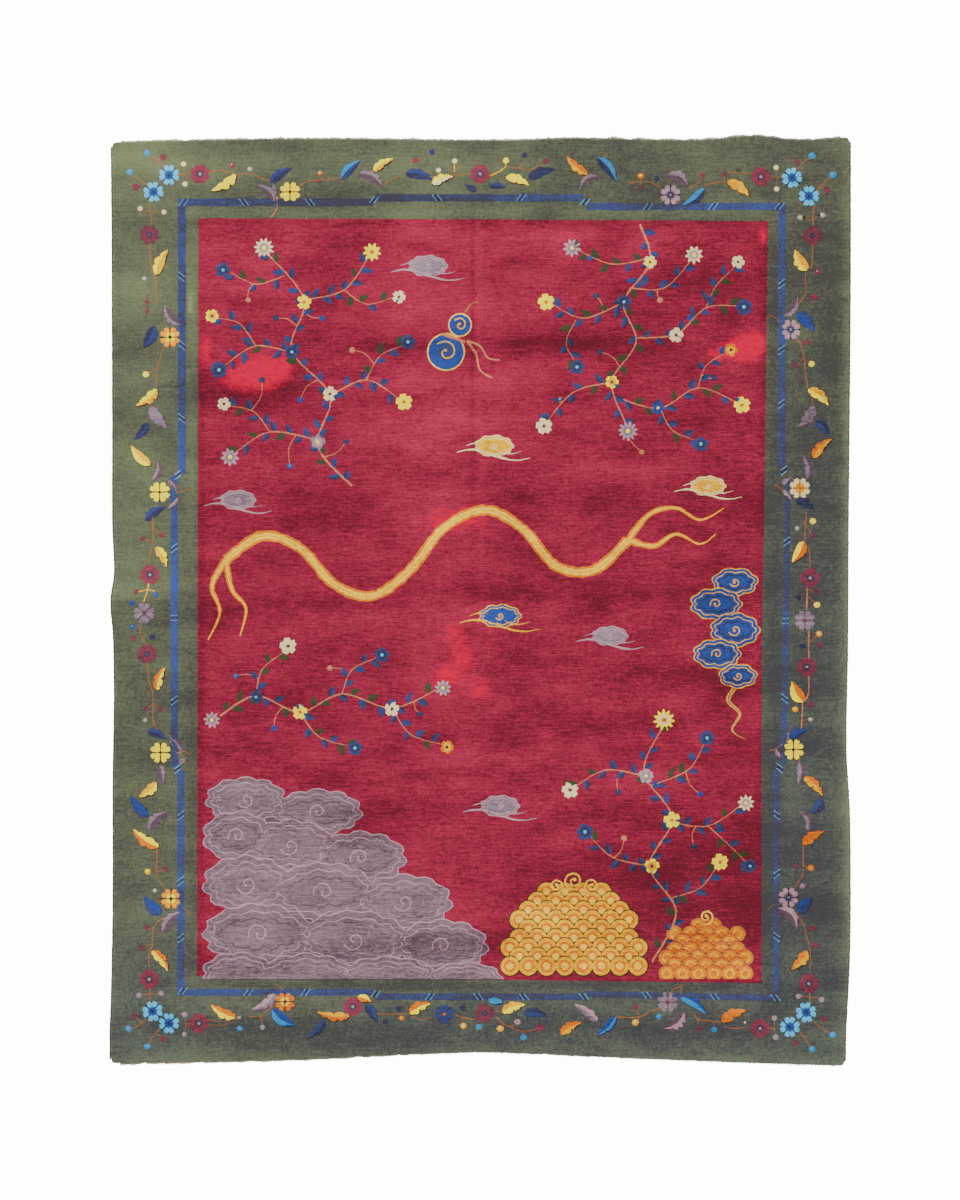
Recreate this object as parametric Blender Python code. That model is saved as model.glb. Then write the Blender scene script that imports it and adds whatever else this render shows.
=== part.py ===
"""A hand-knotted wool carpet lying face up on the floor.

The knotted carpet is one slab of even thickness, and it keeps the uneven outline and the low
ridges of a carpet that was stored folded. A sewn wool cord runs along each long side, and the
cotton foundation comes out at each end as a narrow web with short cut warp ends.

Metres, +Z up. The top end of the pattern points along +Y. The floor is z = 0.
"""

import math
import random
from collections import namedtuple

import bmesh
import bpy
from mathutils import Vector

# Driving sizes
WIDTH = 2.44
LENGTH = 3.05
THICKNESS = 0.012
SELVEDGE_DIAMETER = 0.008
WEB_DEPTH = 0.008
WEB_THICKNESS = 0.0024
GAP = 0.0003

# The slab is a grid of cells, and the sewn sides and the webs share its stations.
CELLS_ACROSS = 50
CELLS_ALONG = 64
CORNER_RADIUS = 0.012
CORNER_STEPS = 3
RIM_RADIUS = 0.004
RIM_STEPS = 2

# Each cell of a web carries two cut warp ends. A web has a column of points at each of these
# shares of a cell, and a warp end grows between the columns named here and the next ones.
WEB_COLUMNS = (0.0, 0.10, 0.25, 0.60, 0.75)
WARP_END_FROM = (1, 3)
SHORTEST_WARP_END = 0.004
LONGEST_WARP_END = 0.009
WARP_END_LEAN = 0.003
WARP_END_TIP = 0.6
WARP_END_SEED = 7

# A sewn side draws in a little at its two ends, where the corners turn.
SELVEDGE_ROUNDNESS = 2
SELVEDGE_TIP = 0.7

# A face whose normal points this far to one side counts as facing that way.
FACES_THAT_WAY = 0.5
SQUARE_CORNER = math.radians(60)
SMOOTH_UNDER = math.radians(40)

BODY_WIDTH = WIDTH - 2 * (SELVEDGE_DIAMETER + GAP)
BODY_LENGTH = LENGTH - 2 * (WEB_DEPTH + GAP)
MM = 0.001

# How far the carpet stands out past its even rectangle, in millimetres. "along" is in metres,
# from the bottom end for the sides, and from the left side for the ends.
Edge = namedtuple("Edge", "along out")

LEFT_SIDE = (
    Edge(0.00, 5.0),
    Edge(0.11, 5.0),
    Edge(0.21, 1.0),
    Edge(0.54, -5.0),
    Edge(0.94, -5.0),
    Edge(1.20, -9.0),
    Edge(1.40, -6.5),
    Edge(1.53, 1.5),
    Edge(1.63, -9.5),
    Edge(1.79, -3.5),
    Edge(2.06, -3.5),
    Edge(2.76, -1.5),
    Edge(3.05, 1.5),
)
RIGHT_SIDE = (
    Edge(0.00, -13.0),
    Edge(0.11, -11.5),
    Edge(0.34, 0.0),
    Edge(0.54, 3.0),
    Edge(0.84, 0.0),
    Edge(1.04, -11.0),
    Edge(1.36, -6.0),
    Edge(1.79, -3.5),
    Edge(2.52, 3.0),
    Edge(3.05, 3.5),
)
TOP_END = (
    Edge(0.00, -4.0),
    Edge(0.63, 6.5),
    Edge(1.28, 1.0),
    Edge(1.52, 8.0),
    Edge(1.94, 3.0),
    Edge(2.12, 17.0),
    Edge(2.26, 3.0),
    Edge(2.44, 13.0),
)
BOTTOM_END = (
    Edge(0.00, 5.0),
    Edge(0.63, -9.0),
    Edge(1.02, -27.0),
    Edge(1.25, -33.0),
    Edge(1.68, -15.0),
    Edge(2.08, 1.0),
    Edge(2.44, 13.0),
)

# Low soft ridges that the folds left, each along a line on the floor, in metres, with its
# height in millimetres.
Ridge = namedtuple("Ridge", "start end half_width height")

RIDGES = (
    Ridge((-0.025, 1.38), (-0.025, 0.05), 0.09, 2.5),
    Ridge((-1.30, 0.00), (-1.03, 0.00), 0.10, 6.0),
    Ridge((-1.30, 1.34), (-1.10, 1.34), 0.10, 2.5),
    Ridge((-1.30, 0.93), (-1.08, 0.93), 0.11, 3.5),
    Ridge((-1.30, 0.68), (-1.10, 0.68), 0.09, 2.5),
    Ridge((1.30, -0.46), (1.08, -0.46), 0.11, 3.0),
    Ridge((0.90, 1.40), (0.90, 1.30), 0.09, 3.0),
    Ridge((-0.25, -0.42), (-0.08, -0.47), 0.08, 2.0),
)


def steepness(rows, i):
    """The slope of the smooth curve through an edge's rows, at row i."""
    before = rows[max(i - 1, 0)]
    after = rows[min(i + 1, len(rows) - 1)]
    return (after.out - before.out) / (after.along - before.along)


def out_at(rows, along):
    """How far an edge stands out at a place along it, in metres, on a smooth curve."""
    i = 0
    while i < len(rows) - 2 and along > rows[i + 1].along:
        i += 1
    step = rows[i + 1].along - rows[i].along
    t = (along - rows[i].along) / step
    start_weight = 2 * t**3 - 3 * t**2 + 1
    end_weight = 3 * t**2 - 2 * t**3
    start_slope = (t**3 - 2 * t**2 + t) * step * steepness(rows, i)
    end_slope = (t**3 - t**2) * step * steepness(rows, i + 1)
    return MM * (start_weight * rows[i].out + end_weight * rows[i + 1].out + start_slope + end_slope)


def settled(across, up):
    """The place on the floor of a point of the slab, given as shares of its width and length."""
    left = out_at(LEFT_SIDE, up * LENGTH)
    right = out_at(RIGHT_SIDE, up * LENGTH)
    bottom = out_at(BOTTOM_END, across * WIDTH)
    top = out_at(TOP_END, across * WIDTH)
    x = (across - 0.5) * BODY_WIDTH - (1 - across) * left + across * right
    y = (up - 0.5) * BODY_LENGTH - (1 - up) * bottom + up * top
    return Vector((x, y, 0.0))


def wall_stations(cells, length):
    """The shares of a side's length where its wall has a corner, between its rounded ends."""
    first = CORNER_RADIUS / length
    return [first, *(i / cells for i in range(1, cells)), 1 - first]


def lift_at(place):
    """How far the ridges lift the cloth off the floor at a place, in metres."""
    total = 0.0
    for ridge in RIDGES:
        start = Vector(ridge.start)
        line = Vector(ridge.end) - start
        share = (place.xy - start).dot(line) / line.length_squared
        nearest = start + line * min(max(share, 0.0), 1.0)
        far = (place.xy - nearest).length / ridge.half_width
        if far < 1:
            total += MM * ridge.height * math.cos(far * math.pi / 2) ** 2
    return total


def yarn(name, colour, roughness):
    """A matt material in one colour, given as linear red, green and blue."""
    material = bpy.data.materials.new(name)
    material.use_nodes = True
    shader = material.node_tree.nodes["Principled BSDF"]
    shader.inputs["Base Color"].default_value = (*colour, 1)
    shader.inputs["Roughness"].default_value = roughness
    shader.inputs["Metallic"].default_value = 0.0
    return material


def add_object(name, data, material):
    made = bpy.data.objects.new(name, data)
    data.materials.append(material)
    bpy.context.scene.collection.objects.link(made)
    return made


def mesh_from(name, bm):
    mesh = bpy.data.meshes.new(name)
    bm.to_mesh(mesh)
    bm.free()
    return mesh


def thickened_grid(cells_x, cells_y, thickness):
    """A closed one-metre square slab of the given thickness, divided into cells."""
    bm = bmesh.new()
    bmesh.ops.create_grid(bm, x_segments=cells_x, y_segments=cells_y, size=0.5)
    grown = bmesh.ops.extrude_face_region(bm, geom=bm.faces[:])
    top = [item for item in grown["geom"] if isinstance(item, bmesh.types.BMVert)]
    bmesh.ops.translate(bm, vec=(0, 0, thickness), verts=top)
    bmesh.ops.recalc_face_normals(bm, faces=bm.faces[:])
    return bm


def is_corner(edge):
    """True for one of the four upright edges where two walls of the slab meet."""
    stands = abs(edge.verts[0].co.z - edge.verts[1].co.z) > THICKNESS / 2
    return stands and edge.calc_face_angle(0.0) > SQUARE_CORNER


def is_rim(edge):
    """True for an edge between the face of the pile and the carpet's wall."""
    facing = sorted(abs(face.normal.z) for face in edge.link_faces)
    high = min(vert.co.z for vert in edge.verts) > THICKNESS / 2
    return high and facing[0] < FACES_THAT_WAY < facing[1]


def make_carpet(material):
    """The knotted slab: a flat grid with rounded corners and a rounded upper rim, then settled."""
    bm = thickened_grid(CELLS_ACROSS, CELLS_ALONG, THICKNESS)
    bmesh.ops.scale(bm, vec=(BODY_WIDTH, BODY_LENGTH, 1), verts=bm.verts[:])
    corners = [edge for edge in bm.edges if is_corner(edge)]
    bmesh.ops.bevel(
        bm, geom=corners, offset=CORNER_RADIUS, segments=CORNER_STEPS, profile=0.5, affect="EDGES"
    )
    rim = [edge for edge in bm.edges if is_rim(edge)]
    bmesh.ops.bevel(
        bm, geom=rim, offset=RIM_RADIUS, segments=RIM_STEPS, profile=0.5, affect="EDGES"
    )
    for vert in bm.verts:
        place = settled(vert.co.x / BODY_WIDTH + 0.5, vert.co.y / BODY_LENGTH + 0.5)
        vert.co = (place.x, place.y, vert.co.z + lift_at(place))
    bmesh.ops.recalc_face_normals(bm, faces=bm.faces[:])
    mesh = mesh_from("carpet", bm)
    mesh.shade_smooth()
    mesh.set_sharp_from_angle(angle=SMOOTH_UNDER)
    return add_object("carpet", mesh, material)


def make_selvedge(name, side, material):
    """The sewn cord along one side, -1 for the left and 1 for the right."""
    radius = SELVEDGE_DIAMETER / 2
    stations = wall_stations(CELLS_ALONG, BODY_LENGTH)
    curve = bpy.data.curves.new(name, "CURVE")
    curve.dimensions = "3D"
    curve.bevel_depth = radius
    curve.bevel_resolution = SELVEDGE_ROUNDNESS
    curve.use_fill_caps = True
    line = curve.splines.new("POLY")
    line.points.add(len(stations) - 1)
    for point, up in zip(line.points, stations):
        edge = settled((side + 1) / 2, up)
        point.co = (edge.x + side * (GAP + radius), edge.y, radius + lift_at(edge), 1)
    line.points[0].radius = SELVEDGE_TIP
    line.points[-1].radius = SELVEDGE_TIP
    return add_object(name, curve, material)


def make_end_web(name, end, material):
    """The cotton web at one end, -1 for the bottom and 1 for the top, with its cut warp ends.

    The web is first made on a plain grid, one column for each side of a warp end and one row
    for each of the carpet's side, the web's outer side and the warp ends' tips.
    """
    stations = wall_stations(CELLS_ACROSS, BODY_WIDTH)
    columns = [(cell, part) for cell in range(CELLS_ACROSS) for part in WEB_COLUMNS]
    columns.append((CELLS_ACROSS - 1, 1.0))
    last = len(columns) - 1
    bm = thickened_grid(last, 1, WEB_THICKNESS)
    roots = []
    for face in bm.faces:
        middle = face.calc_center_median()
        column = math.floor((middle.x + 0.5) * last)
        if face.normal.y > FACES_THAT_WAY and column % len(WEB_COLUMNS) in WARP_END_FROM:
            roots.append(face)
    tips = bmesh.ops.extrude_discrete_faces(bm, faces=roots)["faces"]
    for tip in tips:
        bmesh.ops.translate(bm, vec=(0, 1, 0), verts=tip.verts[:])

    chance = random.Random(WARP_END_SEED * (end + 2))
    lengths = [chance.uniform(SHORTEST_WARP_END, LONGEST_WARP_END) for _ in columns]
    leans = [chance.uniform(-WARP_END_LEAN, WARP_END_LEAN) for _ in columns]
    share_up = (end + 1) / 2
    for vert in bm.verts:
        column = round((vert.co.x + 0.5) * last)
        cell, part = columns[column]
        before = settled(stations[cell], share_up)
        after = settled(stations[cell + 1], share_up)
        place = before.lerp(after, part)
        row = round(vert.co.y + 0.5)
        out = GAP + (WEB_DEPTH if row else 0.0)
        height = vert.co.z
        if row == 2:
            starts_here = column % len(WEB_COLUMNS) in WARP_END_FROM
            first = column if starts_here else column - 1
            other = first + 1 if starts_here else first
            beside = before.lerp(after, columns[other][1])
            place = place.lerp(beside, (1 - WARP_END_TIP) / 2)
            place.x += leans[first]
            out += lengths[first]
            height *= WARP_END_TIP
        vert.co = (place.x, place.y + end * out, height)
    if end < 0:  # the bottom web is the grid's mirror image
        bmesh.ops.reverse_faces(bm, faces=bm.faces[:])
    return add_object(name, mesh_from(name, bm), material)


def centre_on_origin(made):
    """Moves the whole carpet so that the middle of its box stands over the origin."""
    bpy.context.view_layer.update()
    corners = [piece.matrix_world @ Vector(corner) for piece in made for corner in piece.bound_box]
    for axis in (0, 1):
        middle = (min(c[axis] for c in corners) + max(c[axis] for c in corners)) / 2
        for piece in made:
            piece.location[axis] -= middle


for old in list(bpy.data.objects):
    bpy.data.objects.remove(old)

pile_wool = yarn("wool_pile", (0.30, 0.025, 0.045), 0.95)
side_wool = yarn("selvedge_wool", (0.10, 0.115, 0.05), 0.9)
cotton = yarn("cotton_web", (0.72, 0.68, 0.56), 0.9)

pieces = [
    make_carpet(pile_wool),
    make_selvedge("selvedge_left", -1, side_wool),
    make_selvedge("selvedge_right", 1, side_wool),
    make_end_web("end_web_bottom", -1, cotton),
    make_end_web("end_web_top", 1, cotton),
]
centre_on_origin(pieces)
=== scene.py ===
# %% [markdown]
# # A hand-knotted wool carpet in Blender
# The real thing is tied knot by knot on cotton warps: a crimson field, an olive green border
# with a flower vine, and a narrow blue guard stripe between them. This lesson dresses a plain
# model of it. The plain model, called the frame, has the true outline and the low ridges, and
# everything made here is laid on it in the same place and at the same size.

# %% Load the frame
import math
import random
from collections import namedtuple
from functools import reduce

import bmesh
import bpy
import numpy as np
from mathutils import Matrix, Vector, noise


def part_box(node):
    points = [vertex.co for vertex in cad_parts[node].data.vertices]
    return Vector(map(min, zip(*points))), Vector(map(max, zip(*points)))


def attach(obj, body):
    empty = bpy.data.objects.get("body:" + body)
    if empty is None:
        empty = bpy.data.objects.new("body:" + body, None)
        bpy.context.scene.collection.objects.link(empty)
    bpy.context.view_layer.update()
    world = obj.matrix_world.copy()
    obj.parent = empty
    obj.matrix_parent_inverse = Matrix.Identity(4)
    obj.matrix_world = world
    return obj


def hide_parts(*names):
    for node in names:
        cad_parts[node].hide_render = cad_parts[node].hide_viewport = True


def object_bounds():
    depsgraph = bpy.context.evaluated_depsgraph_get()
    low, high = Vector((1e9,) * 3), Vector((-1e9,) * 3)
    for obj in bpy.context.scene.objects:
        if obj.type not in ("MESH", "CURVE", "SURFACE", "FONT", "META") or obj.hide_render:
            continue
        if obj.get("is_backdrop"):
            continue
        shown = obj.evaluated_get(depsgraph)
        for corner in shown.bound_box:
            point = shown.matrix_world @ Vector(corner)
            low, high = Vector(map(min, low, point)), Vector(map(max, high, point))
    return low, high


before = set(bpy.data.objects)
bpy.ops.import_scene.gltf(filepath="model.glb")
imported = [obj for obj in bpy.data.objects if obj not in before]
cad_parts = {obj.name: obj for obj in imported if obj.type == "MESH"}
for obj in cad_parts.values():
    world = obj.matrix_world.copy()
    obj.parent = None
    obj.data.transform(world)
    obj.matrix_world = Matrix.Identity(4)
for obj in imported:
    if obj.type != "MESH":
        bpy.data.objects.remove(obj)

cad_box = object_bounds()
print("frame pieces:", ", ".join(sorted(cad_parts)))

# %% [markdown]
# ## Tables as text
# The carpet has hundreds of small motifs, and long tables are easier to read without brackets
# and quotes. So a table is written as text here, with a row on each line or between semicolons.
# Its named tuple says what each word of a row is. A pixel is written as 12,34, and a dash
# stands for nothing.

# %% Read a table
def read(word):
    """A word of a table: a pixel or a colour, nothing, a number or a name."""
    if "," in word:
        return tuple(read(part) for part in word.split(","))
    if word == "-":
        return None
    try:
        return float(word) if "." in word else int(word)
    except ValueError:
        return word


def table(row, text):
    """The rows of a table that is written as text."""
    lines = text.replace(";", "\n").splitlines()
    return [row(*map(read, line.split())) for line in lines if line.strip()]


print("a word, a number and a pixel:", read("wool"), read("0.5"), read("12,34"))

# %% [markdown]
# ## The outline
# A carpet that has been walked on for years isn't a rectangle. Its sides wander by a
# centimetre, and its ends dip and swell. The tables below give how far each edge stands out
# past an even rectangle, and a smooth curve runs through their rows. A few wide, low ridges
# stay where the carpet was once folded.

# %% Sizes, edges and ridges
MM = 0.001
WIDTH = 2.44
LENGTH = 3.05
THICKNESS = 0.012
SELVEDGE_DIAMETER = 0.008
WEB_DEPTH = 0.008
WEB_THICKNESS = 0.0024
GAP = 0.0003
CORNER_RADIUS = 0.012
RIM_RADIUS = 0.004
BODY_WIDTH = WIDTH - 2 * (SELVEDGE_DIAMETER + GAP)
BODY_LENGTH = LENGTH - 2 * (WEB_DEPTH + GAP)

# "along" is in metres and "out" in millimetres.
Edge = namedtuple("Edge", "along out")

LEFT_SIDE = table(Edge, """
    0.00 5.0; 0.11 5.0; 0.21 1.0; 0.54 -5.0; 0.94 -5.0; 1.20 -9.0; 1.40 -6.5; 1.53 1.5; 1.63 -9.5
    1.79 -3.5; 2.06 -3.5; 2.76 -1.5; 3.05 1.5
""")
RIGHT_SIDE = table(Edge, """
    0.00 -13.0; 0.11 -11.5; 0.34 0.0; 0.54 3.0; 0.84 0.0; 1.04 -11.0; 1.36 -6.0; 1.79 -3.5; 2.52 3.0
    3.05 3.5
""")
TOP_END = table(Edge, """
    0.00 -4.0; 0.63 6.5; 1.28 1.0; 1.52 8.0; 1.94 3.0; 2.12 17.0; 2.26 3.0; 2.44 13.0
""")
BOTTOM_END = table(Edge, """
    0.00 5.0; 0.63 -9.0; 1.02 -27.0; 1.25 -33.0; 1.68 -15.0; 2.08 1.0; 2.44 13.0
""")

# Each ridge follows a line on the floor, in metres, and its height is in millimetres.
Ridge = namedtuple("Ridge", "start end half_width height")

RIDGES = table(Ridge, """
    -0.025,1.38 -0.025,0.05 0.09 2.5; -1.30,0.00 -1.03,0.00 0.10 6.0; -1.30,1.34 -1.10,1.34 0.10 2.5
    -1.30,0.93 -1.08,0.93 0.11 3.5; -1.30,0.68 -1.10,0.68 0.09 2.5; 1.30,-0.46 1.08,-0.46 0.11 3.0
    0.90,1.40 0.90,1.30 0.09 3.0; -0.25,-0.42 -0.08,-0.47 0.08 2.0
""")


def steepness(rows, i):
    """The slope of the smooth curve through an edge's rows, at row i."""
    before = rows[max(i - 1, 0)]
    after = rows[min(i + 1, len(rows) - 1)]
    return (after.out - before.out) / (after.along - before.along)


def out_at(rows, along):
    """How far an edge stands out at a place along it, in metres."""
    i = 0
    while i < len(rows) - 2 and along > rows[i + 1].along:
        i += 1
    step = rows[i + 1].along - rows[i].along
    t = (along - rows[i].along) / step
    start_weight = 2 * t**3 - 3 * t**2 + 1
    end_weight = 3 * t**2 - 2 * t**3
    start_slope = (t**3 - 2 * t**2 + t) * step * steepness(rows, i)
    end_slope = (t**3 - t**2) * step * steepness(rows, i + 1)
    return MM * (start_weight * rows[i].out + end_weight * rows[i + 1].out + start_slope + end_slope)


def nominal(across, up):
    """The place of a point of the slab, given as shares of its width and its length."""
    left = out_at(LEFT_SIDE, up * LENGTH)
    right = out_at(RIGHT_SIDE, up * LENGTH)
    bottom = out_at(BOTTOM_END, across * WIDTH)
    top = out_at(TOP_END, across * WIDTH)
    x = (across - 0.5) * BODY_WIDTH - (1 - across) * left + across * right
    y = (up - 0.5) * BODY_LENGTH - (1 - up) * bottom + up * top
    return Vector((x, y, 0.0))


# %% [markdown]
# ## Where the frame lies
# The frame was centred on its own box, so it lies a few millimetres away from the even
# rectangle that the tables describe. The left cord's box tells by how much: its lowest end
# and its outermost point are known on both.

# %% Measure the frame's shift
CELLS_ALONG_IN_FRAME = 64
first_station = CORNER_RADIUS / BODY_LENGTH
stations = [first_station]
stations += [i / CELLS_ALONG_IN_FRAME for i in range(1, CELLS_ALONG_IN_FRAME)]
stations.append(1 - first_station)
cord_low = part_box("selvedge_left")[0]
outermost = min(nominal(0, up).x for up in stations) - GAP - SELVEDGE_DIAMETER
shift = Vector((cord_low.x - outermost, cord_low.y - nominal(0, first_station).y, 0.0))
print("the frame is shifted by", [round(1000 * value, 2) for value in shift.xy], "mm")


def settled(across, up):
    """The same place as nominal(), in the frame."""
    return nominal(across, up) + shift


# %% [markdown]
# ## The face of the pile
# Every motif is laid on the pile, so one function says how high the pile stands at any place:
# the carpet's thickness, the ridges, some shallow creases and a slight unevenness that a
# shorn wool pile always has. A noise texture in code gives the unevenness.

# %% Height of the pile
SWELL_PER_METRE = 3.2
SWELL_MM = 0.5
RIPPLE_PER_METRE = 13.0
RIPPLE_MM = 0.22

# Creases too slight for the frame, with their heights in millimetres.
CREASES = table(Ridge, """
    -0.02,1.24 -0.03,0.62 0.028 0.9; -0.03,0.62 -0.015,0.02 0.022 0.7
    0.03,0.88 0.42,0.84 0.045 -0.9; -0.36,0.86 -0.16,0.88 0.040 -0.7
    -1.22,1.02 -1.02,1.03 0.035 1.0; -1.22,0.03 -1.02,0.03 0.026 -0.9
    -1.20,-0.55 -1.02,-0.54 0.040 0.6; 1.02,0.42 1.21,0.43 0.040 0.7
    1.00,-0.10 1.20,-0.12 0.040 0.6; -0.55,1.50 -0.54,1.34 0.040 0.7; 0.42,1.51 0.43,1.34 0.040 0.7
    -0.30,-1.48 -0.31,-1.34 0.045 0.8; 0.30,-1.49 0.29,-1.34 0.045 0.7
    0.46,-0.40 0.72,-0.47 0.045 -0.6
""")


def raised_by(ridges, place):
    """The height that a table of ridges adds at a place, in metres."""
    total = 0.0
    for ridge in ridges:
        start = Vector(ridge.start)
        line = Vector(ridge.end) - start
        share = (place.xy - start).dot(line) / line.length_squared
        nearest = start + line * min(max(share, 0.0), 1.0)
        far = (place.xy - nearest).length / ridge.half_width
        if far < 1:
            total += MM * ridge.height * math.cos(far * math.pi / 2) ** 2
    return total


def floor_lift(place):
    """How far the cloth is off the floor. The frame's ridges were placed before its shift."""
    return raised_by(RIDGES, place - shift)


def pile_top(place):
    """The height of the pile's face at a place, in metres."""
    swell = noise.noise(Vector((place.x, place.y, 0.0)) * SWELL_PER_METRE)
    ripple = noise.noise(Vector((place.x, place.y, 3.0)) * RIPPLE_PER_METRE)
    uneven = MM * (SWELL_MM * swell + RIPPLE_MM * ripple)
    return THICKNESS + floor_lift(place) + raised_by(CREASES, place - shift) + uneven


print("pile height in the middle:", round(1000 * pile_top(shift), 2), "mm")

# %% [markdown]
# ## Places on the photograph
# The border's motifs are placed by the pixel where the photograph shows them, and the field's
# ornaments have a layout of their own in the same pixels. The photograph looks straight down,
# so one scale turns pixels into metres.

# %% From pixels to metres
PIXEL = 0.003293
MIDDLE_PX = 480.5
MIDDLE_PY = 601.5


def spot(pixel):
    """The place on the floor that a pixel of the photograph shows."""
    px, py = pixel
    return Vector(((px - MIDDLE_PX) * PIXEL, (MIDDLE_PY - py) * PIXEL, 0.0)) + shift


print("one pixel is", round(1000 * PIXEL, 2), "mm on the floor")

# %% [markdown]
# ## Light and dark in the wool
# The wool isn't one even colour. Where the pile leans away it looks lighter, a dye lot ends and
# the next one starts, and the red has run in a few places. Part of it is painted light and shade:
# the upper left lighter, dark wrinkle lines, and the lit and shaded sides of the creases and low
# ridges. Each soft patch is a row here: its middle and half sizes in pixels, and how much it
# lightens or darkens.

# %% Patches of tone
Patch = namedtuple("Patch", "px py half_x half_y amount")

# Partly the lie of the pile and dye lots, partly painted light and shade.
TONE_AND_SHADE_PATCHES = table(Patch, """
    440 300 300 80 0.16; 660 285 120 80 -0.24; 640 300 30 20 -0.10; 320 275 44 26 -0.20
    215 290 34 34 -0.10; 248 398 70 22 -0.25; 192 215 18 12 0.14; 418 215 26 12 0.17
    550 215 20 12 -0.15; 330 288 16 14 -0.12; 730 326 12 14 -0.20; 730 364 12 12 0.14
    692 650 14 12 0.18; 598 612 32 12 -0.16; 514 722 16 12 -0.15; 332 432 14 12 -0.18
    440 505 16 12 0.15; 332 515 70 18 -0.17; 325 300 30 26 -0.16; 300 374 30 16 -0.16
    620 842 60 18 0.14; 730 696 18 24 -0.14; 452 670 40 30 0.12; 222 626 22 16 -0.13
    700 735 22 16 0.14; 440 560 52 170 0.12; 520 500 34 60 -0.18; 640 470 60 40 -0.10
    234 590 34 40 -0.18; 520 650 34 60 -0.12; 640 680 50 30 -0.12; 650 885 110 50 -0.18
    750 860 22 110 -0.14; 370 826 50 30 -0.14; 300 770 90 18 -0.10; 720 650 30 40 -0.08
    545 345 95 9 -0.35; 395 347 44 13 -0.26; 430 738 34 6 -0.28; 395 752 30 6 -0.20
    640 250 22 40 0.16; 560 240 26 30 0.18; 250 240 60 18 0.16; 430 420 50 60 0.14
    360 240 60 14 -0.10; 520 420 40 60 0.10; 455 470 40 14 -0.16; 330 600 70 10 -0.14
    450 590 60 8 -0.16; 640 600 110 40 -0.08; 690 860 90 120 -0.10; 730 520 40 90 -0.10
    250 860 50 90 0.06; 230 600 30 90 0.08; 300 450 90 20 0.08; 600 470 120 12 0.10
    473 300 2.6 90 -0.22; 478 300 4.0 90 0.14; 474 480 2.6 110 -0.16; 479 480 4.0 110 0.10
    201 600 4 380 -0.16; 480 222 280 4 -0.14; 764 600 5 380 -0.12; 140 158 60 30 0.50
    835 340 30 90 -0.14; 125 625 24 22 0.14; 820 920 40 70 -0.10; 300 1048 130 16 -0.10
    300 150 120 22 0.08; 605 166 50 36 -0.18; 450 192 24 14 0.14; 812 300 20 18 0.10
    774 660 10 60 -0.08; 414 172 36 40 0.22; 842 280 20 90 -0.08; 778 305 14 50 -0.14
    840 342 22 18 -0.16; 842 530 14 90 -0.12; 128 232 38 18 0.14; 124 264 34 13 -0.12
    130 446 36 15 0.13; 130 592 36 12 -0.08; 130 838 44 34 -0.12; 122 952 34 22 0.10
    335 984 70 8 -0.12; 490 1054 44 10 0.13; 828 1042 50 30 0.20; 700 984 60 8 -0.10
    420 212 270 5 0.16; 560 150 180 18 -0.02; 135 222 34 10 -0.08; 135 290 34 30 0.26
    135 352 34 11 -0.16; 135 385 34 14 0.18; 135 420 34 10 -0.16; 135 460 34 22 0.18
    135 530 34 40 0.22; 130 590 30 10 0.34; 132 628 36 18 -0.12; 140 760 40 16 -0.10
    140 820 40 22 0.06; 140 880 40 16 -0.10; 140 960 50 60 -0.04; 192 300 6 40 0.26
    192 470 6 100 0.16; 192 800 6 160 -0.16; 775 600 8 380 -0.20; 815 250 30 40 -0.14
    812 600 26 330 -0.22; 852 600 8 430 0.60; 852 860 6 140 0.16; 820 980 50 80 -0.14
    480 1062 380 7 0.22; 160 1052 60 14 0.10; 400 1032 260 20 -0.16; 640 1030 160 20 -0.10
    780 1064 70 8 0.14; 400 985 320 5 -0.22
""")

# Where the red dye has run, and where the green is stained cream along the guard stripe.
BLEEDS = table(Patch, """
    262 372 24 19 1.0; 238 378 18 12 0.7; 285 364 10 14 0.6; 206 350 8 22 0.75; 448 523 24 9 0.95
    470 512 14 8 0.75; 440 508 10 5 0.45; 462 592 9 12 0.30; 450 628 14 12 0.55; 462 655 15 20 0.70
    444 676 17 12 0.70; 480 690 14 12 0.70; 490 640 8 34 0.35; 486 530 8 20 0.35; 752 340 15 9 1.0
    745 353 17 11 0.9; 735 348 18 7 0.95; 718 354 13 5 0.7; 763 234 5 11 0.9; 430 470 14 16 0.22
    560 400 22 12 0.2
""")
STAINS = table(Patch, """
    190.5 303 3.6 15 1.0; 789 362 3 5 0.4; 770 455 4 7 0.45; 793 240 3 6 0.4
""")

# Where the green turns greyer and darker towards the lower right: partly painted shade, away
# from the light at the upper left, and partly the lie of the pile.
SLATE_AND_SHADE_PATCHES = table(Patch, """
    800 860 70 300 1.1; 560 1030 330 60 1.0; 140 1010 70 90 0.9; 810 560 50 120 0.3
""")
FALLOFF = 0.9
BLEED_GAIN = 1.45
BLEED_CUT = 0.14
BLEED_MOST = 1.05


def painted(patches, x, y):
    """The sum of soft patches at many places at once."""
    total = np.zeros_like(x)
    for patch in patches:
        middle = spot((patch.px, patch.py))
        across = (x - middle.x) / (patch.half_x * PIXEL)
        along = (y - middle.y) / (patch.half_y * PIXEL)
        total += patch.amount * np.exp(-FALLOFF * (across**2 + along**2))
    return total


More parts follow.
